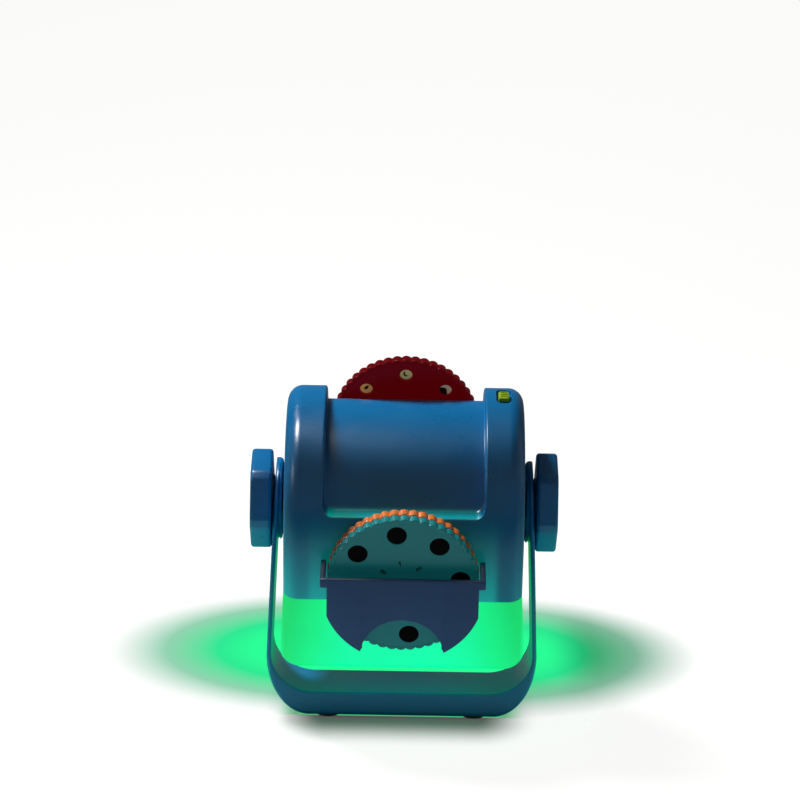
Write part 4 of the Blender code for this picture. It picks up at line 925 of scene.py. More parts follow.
    def build_front(self, material: bpy.types.Material) -> bpy.types.Object:
        """The front shell, from the split plane and the disc's slot down to its lower edge.

        Rows up to the angle still keep their place. Those above are squeezed to end at the rim.

        Args:
            material: the piece's material.

        Returns:
            The object, riding on its body.
        """
        x, drop, kind = self.section()
        r_top = self.radii(x, drop, kind, np.ones_like(x), True)
        in_slot = np.abs(x) < self.slot_half
        start_y = np.where(in_slot, self.slot_front, self.split + 0.3)
        top = np.degrees(np.arccos(np.clip(start_y / r_top, -1.0, 1.0)))
        rows = self.rows(True)
        limit = rows[-1]
        grid_rows = np.repeat(rows[:, None], len(x), axis=1)
        still = 44.0
        above = spread([(0.0, 0.06), (1.0, 0.06)])[1:, None]
        upper = limit + above * (top[None, :] - limit)
        shrink = (np.minimum(top, limit) - still)[None, :] / (limit - still)
        squeezed = np.where(grid_rows > still, still + (grid_rows - still) * shrink, grid_rows)
        upper = np.where(top[None, :] < limit, top[None, :], upper)
        path = np.concatenate([squeezed, upper])
        skin = self.skin(path, True)
        edge = self.skin(path[-1:], True, self.wall)
        edge[0, :, 1] = skin[-1, :, 1]
        patch = Patchwork()
        whole = np.concatenate([skin, edge])
        patch.add(whole, flip=True, value=self.leak(whole))
        patch.open_round(self.bore, 40.0)
        self.add_sides(patch, rear=False)
        return patch.build("front_shell_skin", material, "head", "blue_plastic",
                           attribute="leak")

    def side_outline(self, rear: bool) -> np.ndarray:
        """Outline of the flat of a side face: the drum less its fillet, cut at the split.

        Args:
            rear: of the rear shell.

        Returns:
            (n, 2) along the lens and up.
        """
        inner = self.radius - self.fillet
        cut = self.split if rear else self.split + 0.3
        end = math.degrees(math.acos(cut / inner))
        turn = np.radians(spread([(end, 2.0), (180.0, 2.0)] if rear else [(0.0, 2.0), (end, 2.0)]))
        curve = np.stack([inner * np.cos(turn), inner * np.sin(turn)], axis=-1)
        closing = [(-inner, self.bottom), (cut, self.bottom)] if rear else [
            (cut, self.bottom), (inner, self.bottom)]
        return np.concatenate([curve, np.array(closing)])

    def add_sides(self, patch: Patchwork, rear: bool) -> None:
        """Add both flat side faces: rays from a middle point to the side outline.

        Args:
            patch: takes the faces.
            rear: of the rear shell.
        """
        outline = self.side_outline(rear)
        middle = np.array([-12.0, 5.0]) if rear else np.array([33.0, 2.0])
        share = np.linspace(0.0, 1.0, 4)[:, None, None]
        flat = middle + share * (outline[None] - middle)
        for sign in (-1.0, 1.0):
            grid = np.concatenate([np.full(flat.shape[:2] + (1,), sign * self.half), flat],
                                  axis=-1)
            patch.add(grid, flip=sign > 0.0, close_cols=True, value=self.leak(grid))


@dataclass
class LensUnit:
    """The round boss of the front shell, the lobed focus ring and the sliding barrel."""

    boss_radius: float = 21.4
    nose_radius: float = 18.6
    face: float = 53.0
    ring_radius: float = 24.5
    ring_length: float = 9.2
    lobes: int = 24
    lobe_depth: float = 0.9
    bore: float = 16.5
    barrel_radius: float = 16.2
    barrel_bore: float = 13.8

    def build_boss(self, material: bpy.types.Material) -> bpy.types.Object:
        """The flat-faced boss that the curved front grows into, with its nose.

        Args:
            material: the piece's material.

        Returns:
            The object, riding on its body.
        """
        profile = np.concatenate([
            [[self.boss_radius, 38.0]],
            corner(0.8, 0.0, 90.0, 5, (self.boss_radius - 0.8, self.face - 0.8)),
            corner(0.5, 270.0, 180.0, 4, (self.nose_radius + 0.5, self.face + 0.5)),
            corner(0.5, 0.0, 90.0, 4, (self.nose_radius - 0.5, self.face + 4.5)),
            [[self.bore, self.face + 5.0], [self.bore, 38.0]]])
        patch = Patchwork()
        patch.add(revolve(profile, (0.0, 0.0, 0.0), "y", 96), close_cols=True)
        return patch.build("lens_boss", material, "head", "blue_plastic")

    def build_ring(self, material: bpy.types.Material) -> bpy.types.Object:
        """The focus ring: its outline dips by the depth of a lobe times 1 - |cos|.

        Args:
            material: the piece's material.

        Returns:
            The object, riding on its body.
        """
        start, end = self.face + 0.3, self.face + 0.3 + self.ring_length
        seat = self.nose_radius + 0.4
        profile = np.concatenate([
            [[seat, start]],
            corner(0.6, 270.0, 360.0, 4, (self.ring_radius - 0.6, start + 0.6)),
            corner(1.6, 0.0, 90.0, 6, (self.ring_radius - 1.6, end - 1.6)),
            corner(0.8, 90.0, 180.0, 4, (self.bore + 1.6, end - 0.8)),
            [[self.bore + 0.1, end - 1.6], [self.bore + 0.1, start + 5.2], [seat, start + 5.2],
             [seat, start]]])
        grid = revolve(profile, (0.0, 0.0, 0.0), "y", 288)
        angle = np.arctan2(grid[..., 0], grid[..., 2])
        outer = np.clip((profile[:, :1] - self.ring_radius + 3.0) / 3.0, 0.0, 1.0)
        dip = self.lobe_depth * (1.0 - np.abs(np.cos(self.lobes * angle / 2.0))) * outer
        scale = 1.0 - dip / np.hypot(grid[..., 0], grid[..., 2])
        grid[..., 0] *= scale
        grid[..., 2] *= scale
        patch = Patchwork()
        patch.add(grid, close_cols=True)
        ring = patch.build("focus_ring_fine", material, "focus", "lime_plastic")
        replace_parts(ring, "focus_ring")
        return ring

    def build_barrel(self, material: bpy.types.Material) -> bpy.types.Object:
        """The black barrel with a stepped, grooved mouth that keeps stray light down.

        Args:
            material: the piece's material.

        Returns:
            The object, riding on its body.
        """
        profile = np.array([
            [self.barrel_bore, 36.0], [self.barrel_radius - 0.3, 36.0], [self.barrel_radius, 36.3],
            [self.barrel_radius, 65.4], [self.barrel_radius - 0.6, 66.0],
            [self.barrel_bore + 1.2, 66.0], [self.barrel_bore + 0.2, 65.2],
            [self.barrel_bore, 64.8], [self.barrel_bore, 36.0]])
        patch = Patchwork()
        patch.add(revolve(profile, (0.0, 0.0, 0.0), "y", 96), close_cols=True)
        barrel = patch.build("lens_barrel_fine", material, "barrel", "black_plastic",
                             sharp=25.0)
        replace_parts(barrel, "lens_barrel")
        return barrel


@dataclass
class Stand:
    """The U strip: an outer and an inner curve, with a rounded section carried between them.

    Each arm leans out by a fixed slope, then turns into the bar along a quarter ellipse. The
    strip's depth is constant up to the pivot and then follows a half circle about it.
    """

    arm_x: float = 60.1
    thickness: float = 2.0
    slope: float = math.tan(math.radians(2.2))
    half_depth: float = 19.2
    floor: float = 1.0
    bar: float = 11.3
    rise: float = 29.0
    reach: float = 20.0
    inner_rise: float = 18.3
    boss_inner: float = 56.4
    boss_radius: float = 18.9

    def half_curves(self) -> tuple[np.ndarray, np.ndarray]:
        """Outer and inner curve of the right half, from the arm's top to the bar's middle.

        Returns:
            Two (n, 2) curves of X and Z with as many points, so that they pair.
        """
        lift = PIVOT_HEIGHT + self.half_depth * np.sin(np.linspace(0.5 * math.pi, 0.0, 22))
        turn_out = self.floor + self.rise
        turn_in = self.floor + self.bar + self.inner_rise
        straight = np.linspace(0.0, 1.0, 12)[1:-1]
        quarter = np.linspace(0.0, 0.5 * math.pi, 26)
        flat = np.linspace(0.0, 1.0, 10)[1:]

        def curve(base: float, turn: float, rise: float, low: float) -> np.ndarray:
            """One curve.

            Args:
                base: its X at the pivot.
                turn: height where the arm turns into the bar.
                rise: height of the quarter ellipse there.
                low: height of the bar's run.

            Returns:
                (n, 2) points.
            """
            down = PIVOT_HEIGHT + (turn - PIVOT_HEIGHT) * straight
            z = np.concatenate([lift, down])
            x = base + (PIVOT_HEIGHT - z) * self.slope
            start = base + (PIVOT_HEIGHT - turn) * self.slope
            bend_x = start - self.reach + self.reach * np.cos(quarter)
            bend_z = turn - rise * np.sin(quarter)
            run = (start - self.reach) * (1.0 - flat)
            return np.stack([np.concatenate([x, bend_x, run]),
                             np.concatenate([z, bend_z, np.full_like(run, low)])], axis=-1)

        outer = curve(self.arm_x, turn_out, self.rise, self.floor)
        inner = curve(self.arm_x - self.thickness, turn_in, self.inner_rise,
                      self.floor + self.bar)
        return outer, inner

    def section(self, thick: np.ndarray, half: np.ndarray) -> tuple[np.ndarray, np.ndarray]:
        """Rounded section for each path point: share of the thickness, and depth.

        Args:
            thick: the strip's thickness at each path point.
            half: half its depth there.

        Returns:
            Two (path, section) arrays: share from inner to outer curve, and depth along Y.
        """
        big = np.minimum(np.minimum(2.2, 0.62 * thick), half * 0.9)[:, None]
        small = np.minimum(np.minimum(1.0, 0.3 * thick), half * 0.5)[:, None]
        quarter = np.radians(np.linspace(0.0, 90.0, 7))[None, :]
        sin, cos = np.sin(quarter), np.cos(quarter)
        thick, half = thick[:, None], half[:, None]
        depth = [half - big + big * sin, half - small + small * cos,
                 -half + small - small * sin, -half + big - big * cos]
        share = [thick - big + big * cos, small - small * sin,
                 small - small * cos, thick - big + big * sin]
        return np.concatenate(share, axis=1) / thick, np.concatenate(depth, axis=1)

    def build(self, material: bpy.types.Material) -> bpy.types.Object:
        """The strip with both pivot bosses.

        Args:
            material: the piece's material.

        Returns:
            The object, riding on its body.
        """
        outer, inner = self.half_curves()
        flip = np.array([-1.0, 1.0])
        outer = np.concatenate([outer * flip, outer[::-1][1:]])
        inner = np.concatenate([inner * flip, inner[::-1][1:]])
        above = np.maximum(0.5 * (outer[:, 1] + inner[:, 1]) - PIVOT_HEIGHT, 0.0)
        half = np.sqrt(np.maximum(self.half_depth ** 2 - above ** 2, 1e-4))
        thick = np.linalg.norm(outer - inner, axis=1)
        share, depth = self.section(thick, half)
        flat = inner[:, None, :] + share[..., None] * (outer - inner)[:, None, :]
        grid = np.stack([flat[..., 0], depth, flat[..., 1]], axis=-1)
        patch = Patchwork(level)
        patch.add(grid, close_cols=True)
        for sign in (-1.0, 1.0):
            profile = np.concatenate([
                [[3.0, self.boss_inner]],
                corner(1.0, 180.0, 90.0, 6, (0.0, 0.0)) * [-1.0, -1.0]
                + [self.boss_radius - 1.0, self.boss_inner + 1.0],
                [[self.boss_radius, self.arm_x - 0.8]]])
            profile[:, 1] *= sign
            patch.add(revolve(profile, (0.0, 0.0, PIVOT_HEIGHT), "x", 96), close_cols=True,
                      flip=sign > 0.0)
        stand = patch.build("stand_fine", material, "stand", "blue_plastic", outward=True)
        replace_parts(stand, "stand")
        return stand


@dataclass
class ClampKnob:
    """A clamping knob: a hexagon with cut corners, chamfered, dished outside.

    Its outline is a twelve-sided polygon in polar form, the p-norm of the distances to its
    flats, which rounds the corners a little.
    """

    side: str
    sign: float
    long_reach: float = 21.0
    short_reach: float = 22.9
    inner: float = 61.2
    outer: float = 71.0
    chamfer: float = 1.5
    facing: float = 170.0
    power: float = 90.0

    def outline(self, inset: np.ndarray, steps: int = 360) -> tuple[np.ndarray, np.ndarray]:
        """Radius of the outline, set in by each profile point's inset.

        Args:
            inset: (rows, 1) how far each row lies inside the full outline.
            steps: points round.

        Returns:
            Angles and (rows, steps) radii.
        """
        angle = np.linspace(0.0, math.tau, steps, endpoint=False)
        total = np.zeros((len(inset), steps))
        for k in range(12):
            reach = (self.long_reach if k % 2 == 0 else self.short_reach) - inset
            turn = math.radians(self.facing + 30.0 * k)
            total += np.maximum(np.cos(angle - turn)[None, :] / reach, 0.0) ** self.power
        return angle, total ** (-1.0 / self.power)

    def build(self, material: bpy.types.Material) -> bpy.types.Object:
        """The knob with its collar.

        Args:
            material: the piece's material.

        Returns:
            The object, riding on its body.
        """
        rim = corner(self.chamfer, 0.0, 90.0, 6, (0.0, 0.0))
        back = [(self.chamfer - x, self.inner + self.chamfer - z) for x, z in rim[::-1]]
        front = [(self.chamfer - x, self.outer - self.chamfer + z) for x, z in rim]
        inset = np.array([[9.0, self.inner], *back, *front, [7.0, self.outer]])
        angle, radius = self.outline(inset[:, :1])
        along = np.broadcast_to(inset[:, 1:], radius.shape)
        middle = np.array([[13.6, self.outer], [13.0, self.outer - 0.25],
                           [12.4, self.outer - 1.2], [11.6, self.outer - 1.6],
                           [0.01, self.outer - 1.7]])
        collar = np.array([[2.6, 60.4], [11.3, 60.4], [11.6, 60.7], [11.6, self.inner]])
        (first, start), (last, finish) = [
            [np.broadcast_to(c[:, i, None], (len(c), len(angle))) for i in (0, 1)]
            for c in (collar, middle)]
        radius = np.concatenate([first, radius, last])
        along = np.concatenate([start, along, finish])
        grid = np.stack([self.sign * along, radius * np.cos(angle),
                         PIVOT_HEIGHT + radius * np.sin(angle)], axis=-1)
        patch = Patchwork(level)
        patch.add(grid, close_cols=True, flip=self.sign < 0.0)
        knob = patch.build("knob_%s_fine" % self.side, material, self.side + "_knob",
                           "blue_plastic", sharp=50.0)
        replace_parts(knob, "knob_" + self.side)
        return knob


@dataclass
class Diffuser:
    """The glowing tub: a round-cornered box loop, carried down a profile that flares out."""

    half_x: float = 54.6
    half_y: float = 53.0
    top: float = -22.3
    bottom: float = -60.0
    flare: float = 2.3
    corner_radius: float = 7.0
    edge: float = 4.0
    side_round: float = 8.5
    wall: float = 2.0
    hole: tuple[Pair, Pair] = ((-25.5, -17.75), (25.5, 26.65))

    def loop(self, inset: float, z: float) -> np.ndarray:
        """One loop of the tub: its half width grows with depth, then turns in on an arc.

        Args:
            inset: how far inside the full outline.
            z: height.

        Returns:
            (n, 3) points, as many for each loop.
        """
        turn = np.clip(self.side_round - (z - self.bottom), 0.0, self.side_round)
        side = self.side_round - math.sqrt(self.side_round ** 2 - float(turn) ** 2)
        grown = self.half_x - max(inset, side) + self.flare * (z - self.top) / (
            self.bottom - self.top)
        radius = max(self.corner_radius - inset, 1.0)
        flat = rounded_box_loop((-grown, -(self.half_y - inset)), (grown, self.half_y - inset),
                                radius, 8)
        sides = []
        for place, (start, end) in enumerate(zip(flat, np.roll(flat, -1, axis=0))):
            count = 18 if place % 9 == 8 else 1  # the straight run after each corner's nine
            share = np.linspace(0.0, 1.0, count, endpoint=False)[:, None]
            sides.append(start + share * (end - start))
        whole = np.concatenate(sides)
        return np.concatenate([whole, np.full((len(whole), 1), z)], axis=1)

    def glow(self, points: np.ndarray) -> np.ndarray:
        """Brightness: 1 low in the middle, over the lamps, falling to the corners and the top.

        Args:
            points: (..., 3) of the tub.

        Returns:
            (...) brightness from 0 to 1.
        """
        x, z = points[..., 0], points[..., 2]
        across = np.clip(np.abs(x) / self.half_x, 0.0, 1.1)
        height_share = (z - self.bottom) / (self.top - self.bottom)
        lit = 1.0 - across ** 2.6 - 0.4 * across * (height_share - 0.35)
        rim = np.clip((np.abs(x) - (self.half_x - 0.6)) / 2.0, 0.0, 1.0)
        return np.clip(lit + 0.6 * rim, 0.0, 1.0)

    def build(self, material: bpy.types.Material) -> bpy.types.Object:
        """The tub with its battery opening.

        Args:
            material: the piece's material.

        Returns:
            The object, riding on its body.
        """
        fillet = corner(self.edge, 0.0, -90.0, 6, (0.0, 0.0))
        rows = [self.loop(self.wall, self.top), self.loop(0.3, self.top),
                self.loop(0.0, self.top - 0.3)]
        rows += [self.loop(0.0, z) for z in np.linspace(self.top - 3.0,
                                                         self.bottom + self.edge, 22)]
        rows += [self.loop(self.edge - x, self.bottom + self.edge + z) for x, z in fillet[1:]]
        base = rows[-1]
        (x0, y0), (x1, y1) = self.hole
        hole = np.stack([np.clip(base[:, 0] * 3.0, x0, x1), np.clip(base[:, 1] * 3.0, y0, y1),
                         base[:, 2]], axis=-1)
        for share in np.linspace(0.0, 1.0, 7)[1:]:
            rows.append(base + share * (hole - base))
        up = hole.copy()
        up[:, 2] += self.wall
        rows.append(up)
        inside = self.loop(self.wall + 1.0, self.bottom + self.wall)
        rows += [up + share * (inside - up) for share in (0.5, 1.0)]
        rows += [self.loop(self.wall, z) for z in (self.bottom + self.wall + 1.0, self.top)]
        grid = np.stack(rows)
        patch = Patchwork()
        patch.add(grid, close_cols=True, value=self.glow(grid))
        tub = patch.build("diffuser_tub", material, "head", "milky_plastic", attribute="glow",
                          outward=True)
        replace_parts(tub, "diffuser")
        return tub


@dataclass
class DiscPocket:
    """The half-round pocket on the back: a plate with a thumb notch, ears and two arc walls."""

    centre: float = -8.0
    radius: float = 36.4
    inner_radius: float = 34.8
    side: float = 34.2
    ear: float = 37.2
    top: float = -0.8
    ear_low: float = -5.5
    plate_inner: float = -68.0
    plate_outer: float = -70.2
    back: float = -53.3
    notch_radius: float = 18.9
    notch_drop: float = 33.0
    notch_half: float = 18.6

    def lower(self, x: np.ndarray) -> np.ndarray:
        """Lower edge of the plate: the big circle, with the notch's circle over it.

        Args:
            x: places across.

        Returns:
            The edge's height at each.
        """
        big = self.centre - np.sqrt(np.maximum(self.radius ** 2 - x ** 2, 0.0))
        notch = (self.centre - self.notch_drop
                 + np.sqrt(np.maximum(self.notch_radius ** 2 - x ** 2, 0.0)))
        return np.where(np.abs(x) < self.notch_radius, np.maximum(big, notch), big)

    def build(self, material: bpy.types.Material) -> bpy.types.Object:
        """The pocket: its plate is a rounded loop of (height, depth) carried across.

        Args:
            material: the piece's material.

        Returns:
            The object, riding on its body.
        """
        half = spread([(0.0, 1.0), (12.0, 0.5), (self.notch_half, 0.1), (19.6, 1.0),
                       (self.side, 1.0)])
        x = np.concatenate([-half[::-1], half[1:]])
        low = self.lower(x)
        loops = [self.plate_loop(value, self.top, bottom) for value, bottom in zip(x, low)]
        ear_x = np.array([self.side, self.ear - 0.7, self.ear - 0.2, self.ear])
        shrink = np.array([0.0, 0.0, 0.25, 0.7])
        right = [self.plate_loop(v, self.top - s, self.ear_low + s)
                 for v, s in zip(ear_x, shrink)]
        left = [self.plate_loop(-v, self.top - s, self.ear_low + s)
                for v, s in zip(ear_x[::-1], shrink[::-1])]
        grid = np.stack(left + loops + right)
        patch = Patchwork()
        patch.add(grid, close_cols=True)
        for end in (0, -1):
            patch.add(fan(grid[end]), close_cols=True, flip=end == 0)
        for sign in (-1.0, 1.0):
            self.add_wall(patch, sign)
            self.add_ear(patch, sign)
        pocket = patch.build("disc_pocket_fine", material, "head", "navy_plastic",
                             outward=True)
        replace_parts(pocket, "disc_pocket")
        return pocket

    def plate_loop(self, x: float, top: float, bottom: float) -> np.ndarray:
        """A closed loop round the plate's section at one x."""
        flat = rounded_box_loop((self.plate_outer, bottom), (self.plate_inner, top), 0.7, 4)
        return np.stack([np.full(len(flat), x), flat[:, 0], flat[:, 1]], axis=-1)

    def add_wall(self, patch: Patchwork, sign: float) -> None:
        """Add an arc wall: a rounded (radius, depth) loop turned about the discs' centre.

        Args:
            patch: takes the faces.
            sign: side, -1 for left.
        """
        start = -math.degrees(math.acos(self.side / self.radius)) - 0.4
        end = -math.degrees(math.acos(self.notch_half / self.radius)) + 0.4
        turn = np.radians(np.linspace(start, end, 32))
        loop = rounded_box_loop((self.inner_radius, self.plate_inner - 0.5),
                                (self.radius - 0.02, self.back), 0.3, 3)
        reach = loop[None, :, 0]
        grid = np.stack(np.broadcast_arrays(
            sign * reach * np.cos(turn)[:, None], loop[None, :, 1],
            self.centre + reach * np.sin(turn)[:, None]), axis=-1)
        for part in (grid, fan(grid[0]), fan(grid[-1])):
            patch.add(part, close_cols=True)

    def add_ear(self, patch: Patchwork, sign: float) -> None:
        """Add an ear's side wall, a rounded bar from the plate to the shell.

        Args:
            patch: takes the faces.
            sign: side, -1 for left.
        """
        loop = rounded_box_loop((self.inner_radius, self.ear_low), (self.ear, self.top), 0.7, 4)
        depth = np.array([self.plate_inner - 0.8, self.back])
        grid = np.stack(np.broadcast_arrays(sign * loop[None, :, 0], depth[:, None],
                                            loop[None, :, 1]), axis=-1)
        for part in (grid, fan(grid[0]), fan(grid[-1])):
            patch.add(part, close_cols=True)


# Strokes of the numerals 1 to 8 on a lattice two steps wide and four high, seen upright
DIGIT_STROKES: tuple[tuple[tuple[tuple[int, int], tuple[int, int]], ...], ...] = (
    (((0, -2), (0, 2)), ((0, 2), (-1, 1))),
    (((-1, 2), (1, 2)), ((1, 2), (1, 0)), ((1, 0), (-1, 0)), ((-1, 0), (-1, -2)),
     ((-1, -2), (1, -2))),
    (((-1, 2), (1, 2)), ((1, 2), (1, -2)), ((-1, 0), (1, 0)), ((-1, -2), (1, -2))),
    (((-1, 2), (-1, 0)), ((-1, 0), (1, 0)), ((1, 2), (1, -2))),
    (((1, 2), (-1, 2)), ((-1, 2), (-1, 0)), ((-1, 0), (1, 0)), ((1, 0), (1, -2)),
     ((1, -2), (-1, -2))),
    (((1, 2), (-1, 2)), ((-1, 2), (-1, -2)), ((-1, -2), (1, -2)), ((1, -2), (1, 0)),
     ((1, 0), (-1, 0))),
    (((-1, 2), (1, 2)), ((1, 2), (0, -2))),
    (((-1, -2), (-1, 2)), ((-1, 2), (1, 2)), ((1, 2), (1, -2)), ((1, -2), (-1, -2)),
     ((-1, 0), (1, 0))))


@dataclass
class PictureDisc:
    """A picture disc: a knurled rim round a thin face with eight windows, and its films.

    The rim's outline is the radius less a share of a bump's depth, (1 - |cos|) of 48 bumps. The
    face is eight equal sectors. In each, rays run from the window's edge to the sector's border.
    """

    colour: str
    body: str
    finish: Finish
    middle: Point
    turn: float
    grounds: Sequence[str]
    mark: str
    lit: bool = False
    radius: float = 34.5
    half: float = 2.3
    bumps: int = 48
    bump: float = 1.0
    rim: float = 32.6
    face: float = 2.12
    window: float = 4.6
    window_circle: float = 26.1
    pictures: int = 8
    lip: float = 0.22
    hub: float = 14.0
    numeral_circle: float = 11.4
    numeral_mm: float = 0.55
    stroke_mm: float = 0.45
    numeral_side: float = -1.0

    def placed(self, flat: np.ndarray, depth: np.ndarray) -> np.ndarray:
        """Points of the disc, turned about its middle.

        Args:
            flat: (..., 2) x and z from the disc's middle.
            depth: (...) depth along the lens.

        Returns:
            (..., 3) head millimetres.
        """
        x, z = np.moveaxis(flat @ spin(self.turn), -1, 0)
        return np.stack([x, depth + 0.0 * x, z], axis=-1) + np.array(self.middle)

    def rim_grid(self) -> np.ndarray:
        """The knurled rim: a rounded loop of (radius, depth), its outer part following bumps.

        Returns:
            A grid closed both ways.
        """
        angle = np.linspace(0.0, math.tau, self.bumps * 12, endpoint=False)
        loop = np.concatenate([
            corner(0.35, -90.0, 0.0, 4, (self.radius - 0.35, -self.half + 0.35)),
            [[self.radius, -0.8], [self.radius, 0.8]],
            corner(0.35, 0.0, 90.0, 4, (self.radius - 0.35, self.half - 0.35)),
            [[self.rim + 0.3, self.half], [self.rim, self.face - 0.02],
             [self.rim, self.face - 0.5], [self.rim, 0.5 - self.face],
             [self.rim, 0.02 - self.face], [self.rim + 0.3, -self.half]]])
        outer = np.clip((loop[:, 0] - self.rim - 0.3) / 0.9, 0.0, 1.0)[:, None]
        dip = self.bump * (1.0 - np.abs(np.cos(self.bumps * angle / 2.0)) ** 0.8)[None, :]
        radius = loop[:, :1] - outer * dip
        flat = np.stack([radius * np.sin(angle), radius * np.cos(angle)], axis=-1)
        return self.placed(flat, np.broadcast_to(loop[:, 1:], radius.shape))

    def sector(self, depth: float, edge: float) -> list[np.ndarray]:
        """One face as eight ruled grids from the windows' edges to the sectors' borders.

        Args:
            depth: the face's depth from the disc's middle.
            edge: depth of the window's inner lip.

        Returns:
            Grids of points, not yet turned to their sectors' places.
        """
        half = math.pi / self.pictures
        border = self.rim + 0.1
        aims = [math.atan2(side * reach * math.sin(half),
                           reach * math.cos(half) - self.window_circle) % math.tau
                for side in (-1.0, 1.0) for reach in (border, self.hub)]
        ray = np.sort(np.concatenate([np.linspace(0.0, math.tau, 73), aims]))
        way = np.stack([np.sin(ray), np.cos(ray)], axis=-1)
        start = np.array([0.0, self.window_circle])
        far = np.full(len(ray), 1e3)
        for tilt in (-1.0, 1.0):
            normal = np.array([math.cos(half) * tilt, -math.sin(half)])
            speed = way @ normal
            hit = -(start @ normal) / np.where(np.abs(speed) < 1e-9, 1e-9, speed)
            far = np.where((hit > 0.0) & (hit < far), hit, far)
        dot = way @ start
        for limit, outwards in ((border, True), (self.hub, False)):
            under = dot ** 2 - (start @ start - limit ** 2)
            root = np.sqrt(np.maximum(under, 0.0))
            hit = -dot + root if outwards else -dot - root
            fits = (under > 0.0) & (hit > 0.0)
            far = np.where(fits & (hit < far), hit, far)
        rings = [(self.window - 0.25, edge), (self.window - 0.25, depth * 0.55),
                 (self.window - 0.05, depth * 0.97), (self.window + 0.15, depth),
                 (self.window + self.lip, depth)]
        rows = [start + r * way for r, _ in rings]
        deep = [np.full(len(ray), d) for _, d in rings]
        for share in (0.35, 0.7, 1.0):
            reach = self.window + self.lip + share * (far - self.window - self.lip)
            rows.append(start + reach[:, None] * way)
            deep.append(np.full(len(ray), depth))
        flat, lift = np.stack(rows), np.stack(deep)
        return [self.placed(flat @ spin(360.0 / self.pictures * k), lift)
                for k in range(self.pictures)]

    def build(self, finishes: Finishes) -> bpy.types.Object:
        """The disc.

        Args:
            finishes: gives the materials.

        Returns:
            The object, riding on its body.
        """
        patch = Patchwork()
        patch.add(self.rim_grid(), close_rows=True, close_cols=True)
        for side in (-1.0, 1.0):
            depth = side * self.face
            for grid in self.sector(depth, side * 0.2):
                patch.add(grid, flip=side < 0.0)
            angle = np.linspace(0.0, math.tau, 145)
            steps = np.array([self.hub, 9.0, 4.0, 0.02])[:, None]
            flat = np.stack([steps * np.sin(angle), steps * np.cos(angle)], axis=-1)
            patch.add(self.placed(flat, np.full(flat.shape[:2], depth)), flip=side < 0.0)
        disc = patch.build(self.colour + "_disc_fine", finishes[self.finish], self.body,
                           self.colour + "_plastic", outward=True)
        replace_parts(disc, self.colour + "_disc")
        return disc

    def build_numerals(self, finishes: Finishes) -> bpy.types.Object:
        """The windows' numbers, 1 to 8, in thin raised strokes on the face that is seen.

        Each number's strokes are short bars between points of a 2 by 4 lattice: a bar is the
        line's two ends, each set off to both sides by half a stroke.

        Args:
            finishes: gives the materials.

        Returns:
            The object, riding on its body.
        """
        patch = Patchwork()
        sign = self.numeral_side
        for k, strokes in enumerate(DIGIT_STROKES):
            for start, end in strokes:
                line = np.array([start, end], dtype=float) * self.numeral_mm
                way = (line[1] - line[0]) / np.linalg.norm(line[1] - line[0])
                off = np.array([-way[1], way[0]]) * self.stroke_mm / 2.0
                line = line + np.array([-way, way]) * self.stroke_mm / 2.0
                flat = np.stack([line + off, line - off], axis=1)
                flat = flat * np.array([-sign, 1.0]) + np.array([0.0, self.numeral_circle])
                flat = flat @ spin(360.0 / self.pictures * k)
                top = self.placed(flat, np.full(flat.shape[:2], sign * (self.face + 0.12)))
                foot = self.placed(flat, np.full(flat.shape[:2], sign * (self.face - 0.1)))
                loop = np.stack([foot[:, 0], top[:, 0], top[:, 1], foot[:, 1]])
                patch.add(loop, close_rows=True)
                for col in (0, 1):
                    patch.add(np.stack([loop[:2, col], loop[:1:-1, col]]))
        return patch.build(self.colour + "_numerals", finishes[Finish.BLACK_ABS], self.body,
                           self.colour + "_plastic", outward=True)

    def picture(self, u: np.ndarray, v: np.ndarray, number: int) -> np.ndarray:
        """Ink of one small picture: 1 in its dark shape, 0 in its ground.

        The shapes are plain and in turn: a crescent, a hill, a ball, a boat, a cloud, a tree,
        a kite and a fish, each a few circles or lines.

        Args:
            u: place across the window, -1 to 1.
            v: place up it.
            number: which picture.

        Returns:
            The ink at each place.
        """
        def ball(cx: float, cy: float, r: float) -> np.ndarray:
            """Where a circle lies."""
            return np.hypot(u - cx, v - cy) < r

        shapes = [
            ball(0.0, 0.0, 0.45) & ~ball(0.22, 0.12, 0.42),
            v < 0.35 * np.cos(2.6 * u) - 0.25,
            ball(0.1, -0.05, 0.36),
            (np.abs(u) < 0.5 + 0.6 * v) & (np.abs(v + 0.25) < 0.14)
            | (np.abs(u - 0.05) < 0.35 * (0.55 - v)) & (v > -0.05) & (v < 0.5),
            ball(-0.25, -0.05, 0.24) | ball(0.05, 0.1, 0.28) | ball(0.32, -0.05, 0.2),
            (np.abs(u) < 0.07) & (v < 0.0) & (v > -0.5) | ball(0.0, 0.15, 0.32),
            (np.abs(u) + 0.7 * np.abs(v) < 0.38),
            (np.hypot(u / 1.5, v) < 0.26) | (np.abs(v) < 0.3 * (u - 0.3)) & (u < 0.62)]
        return shapes[number % 8].astype(float)

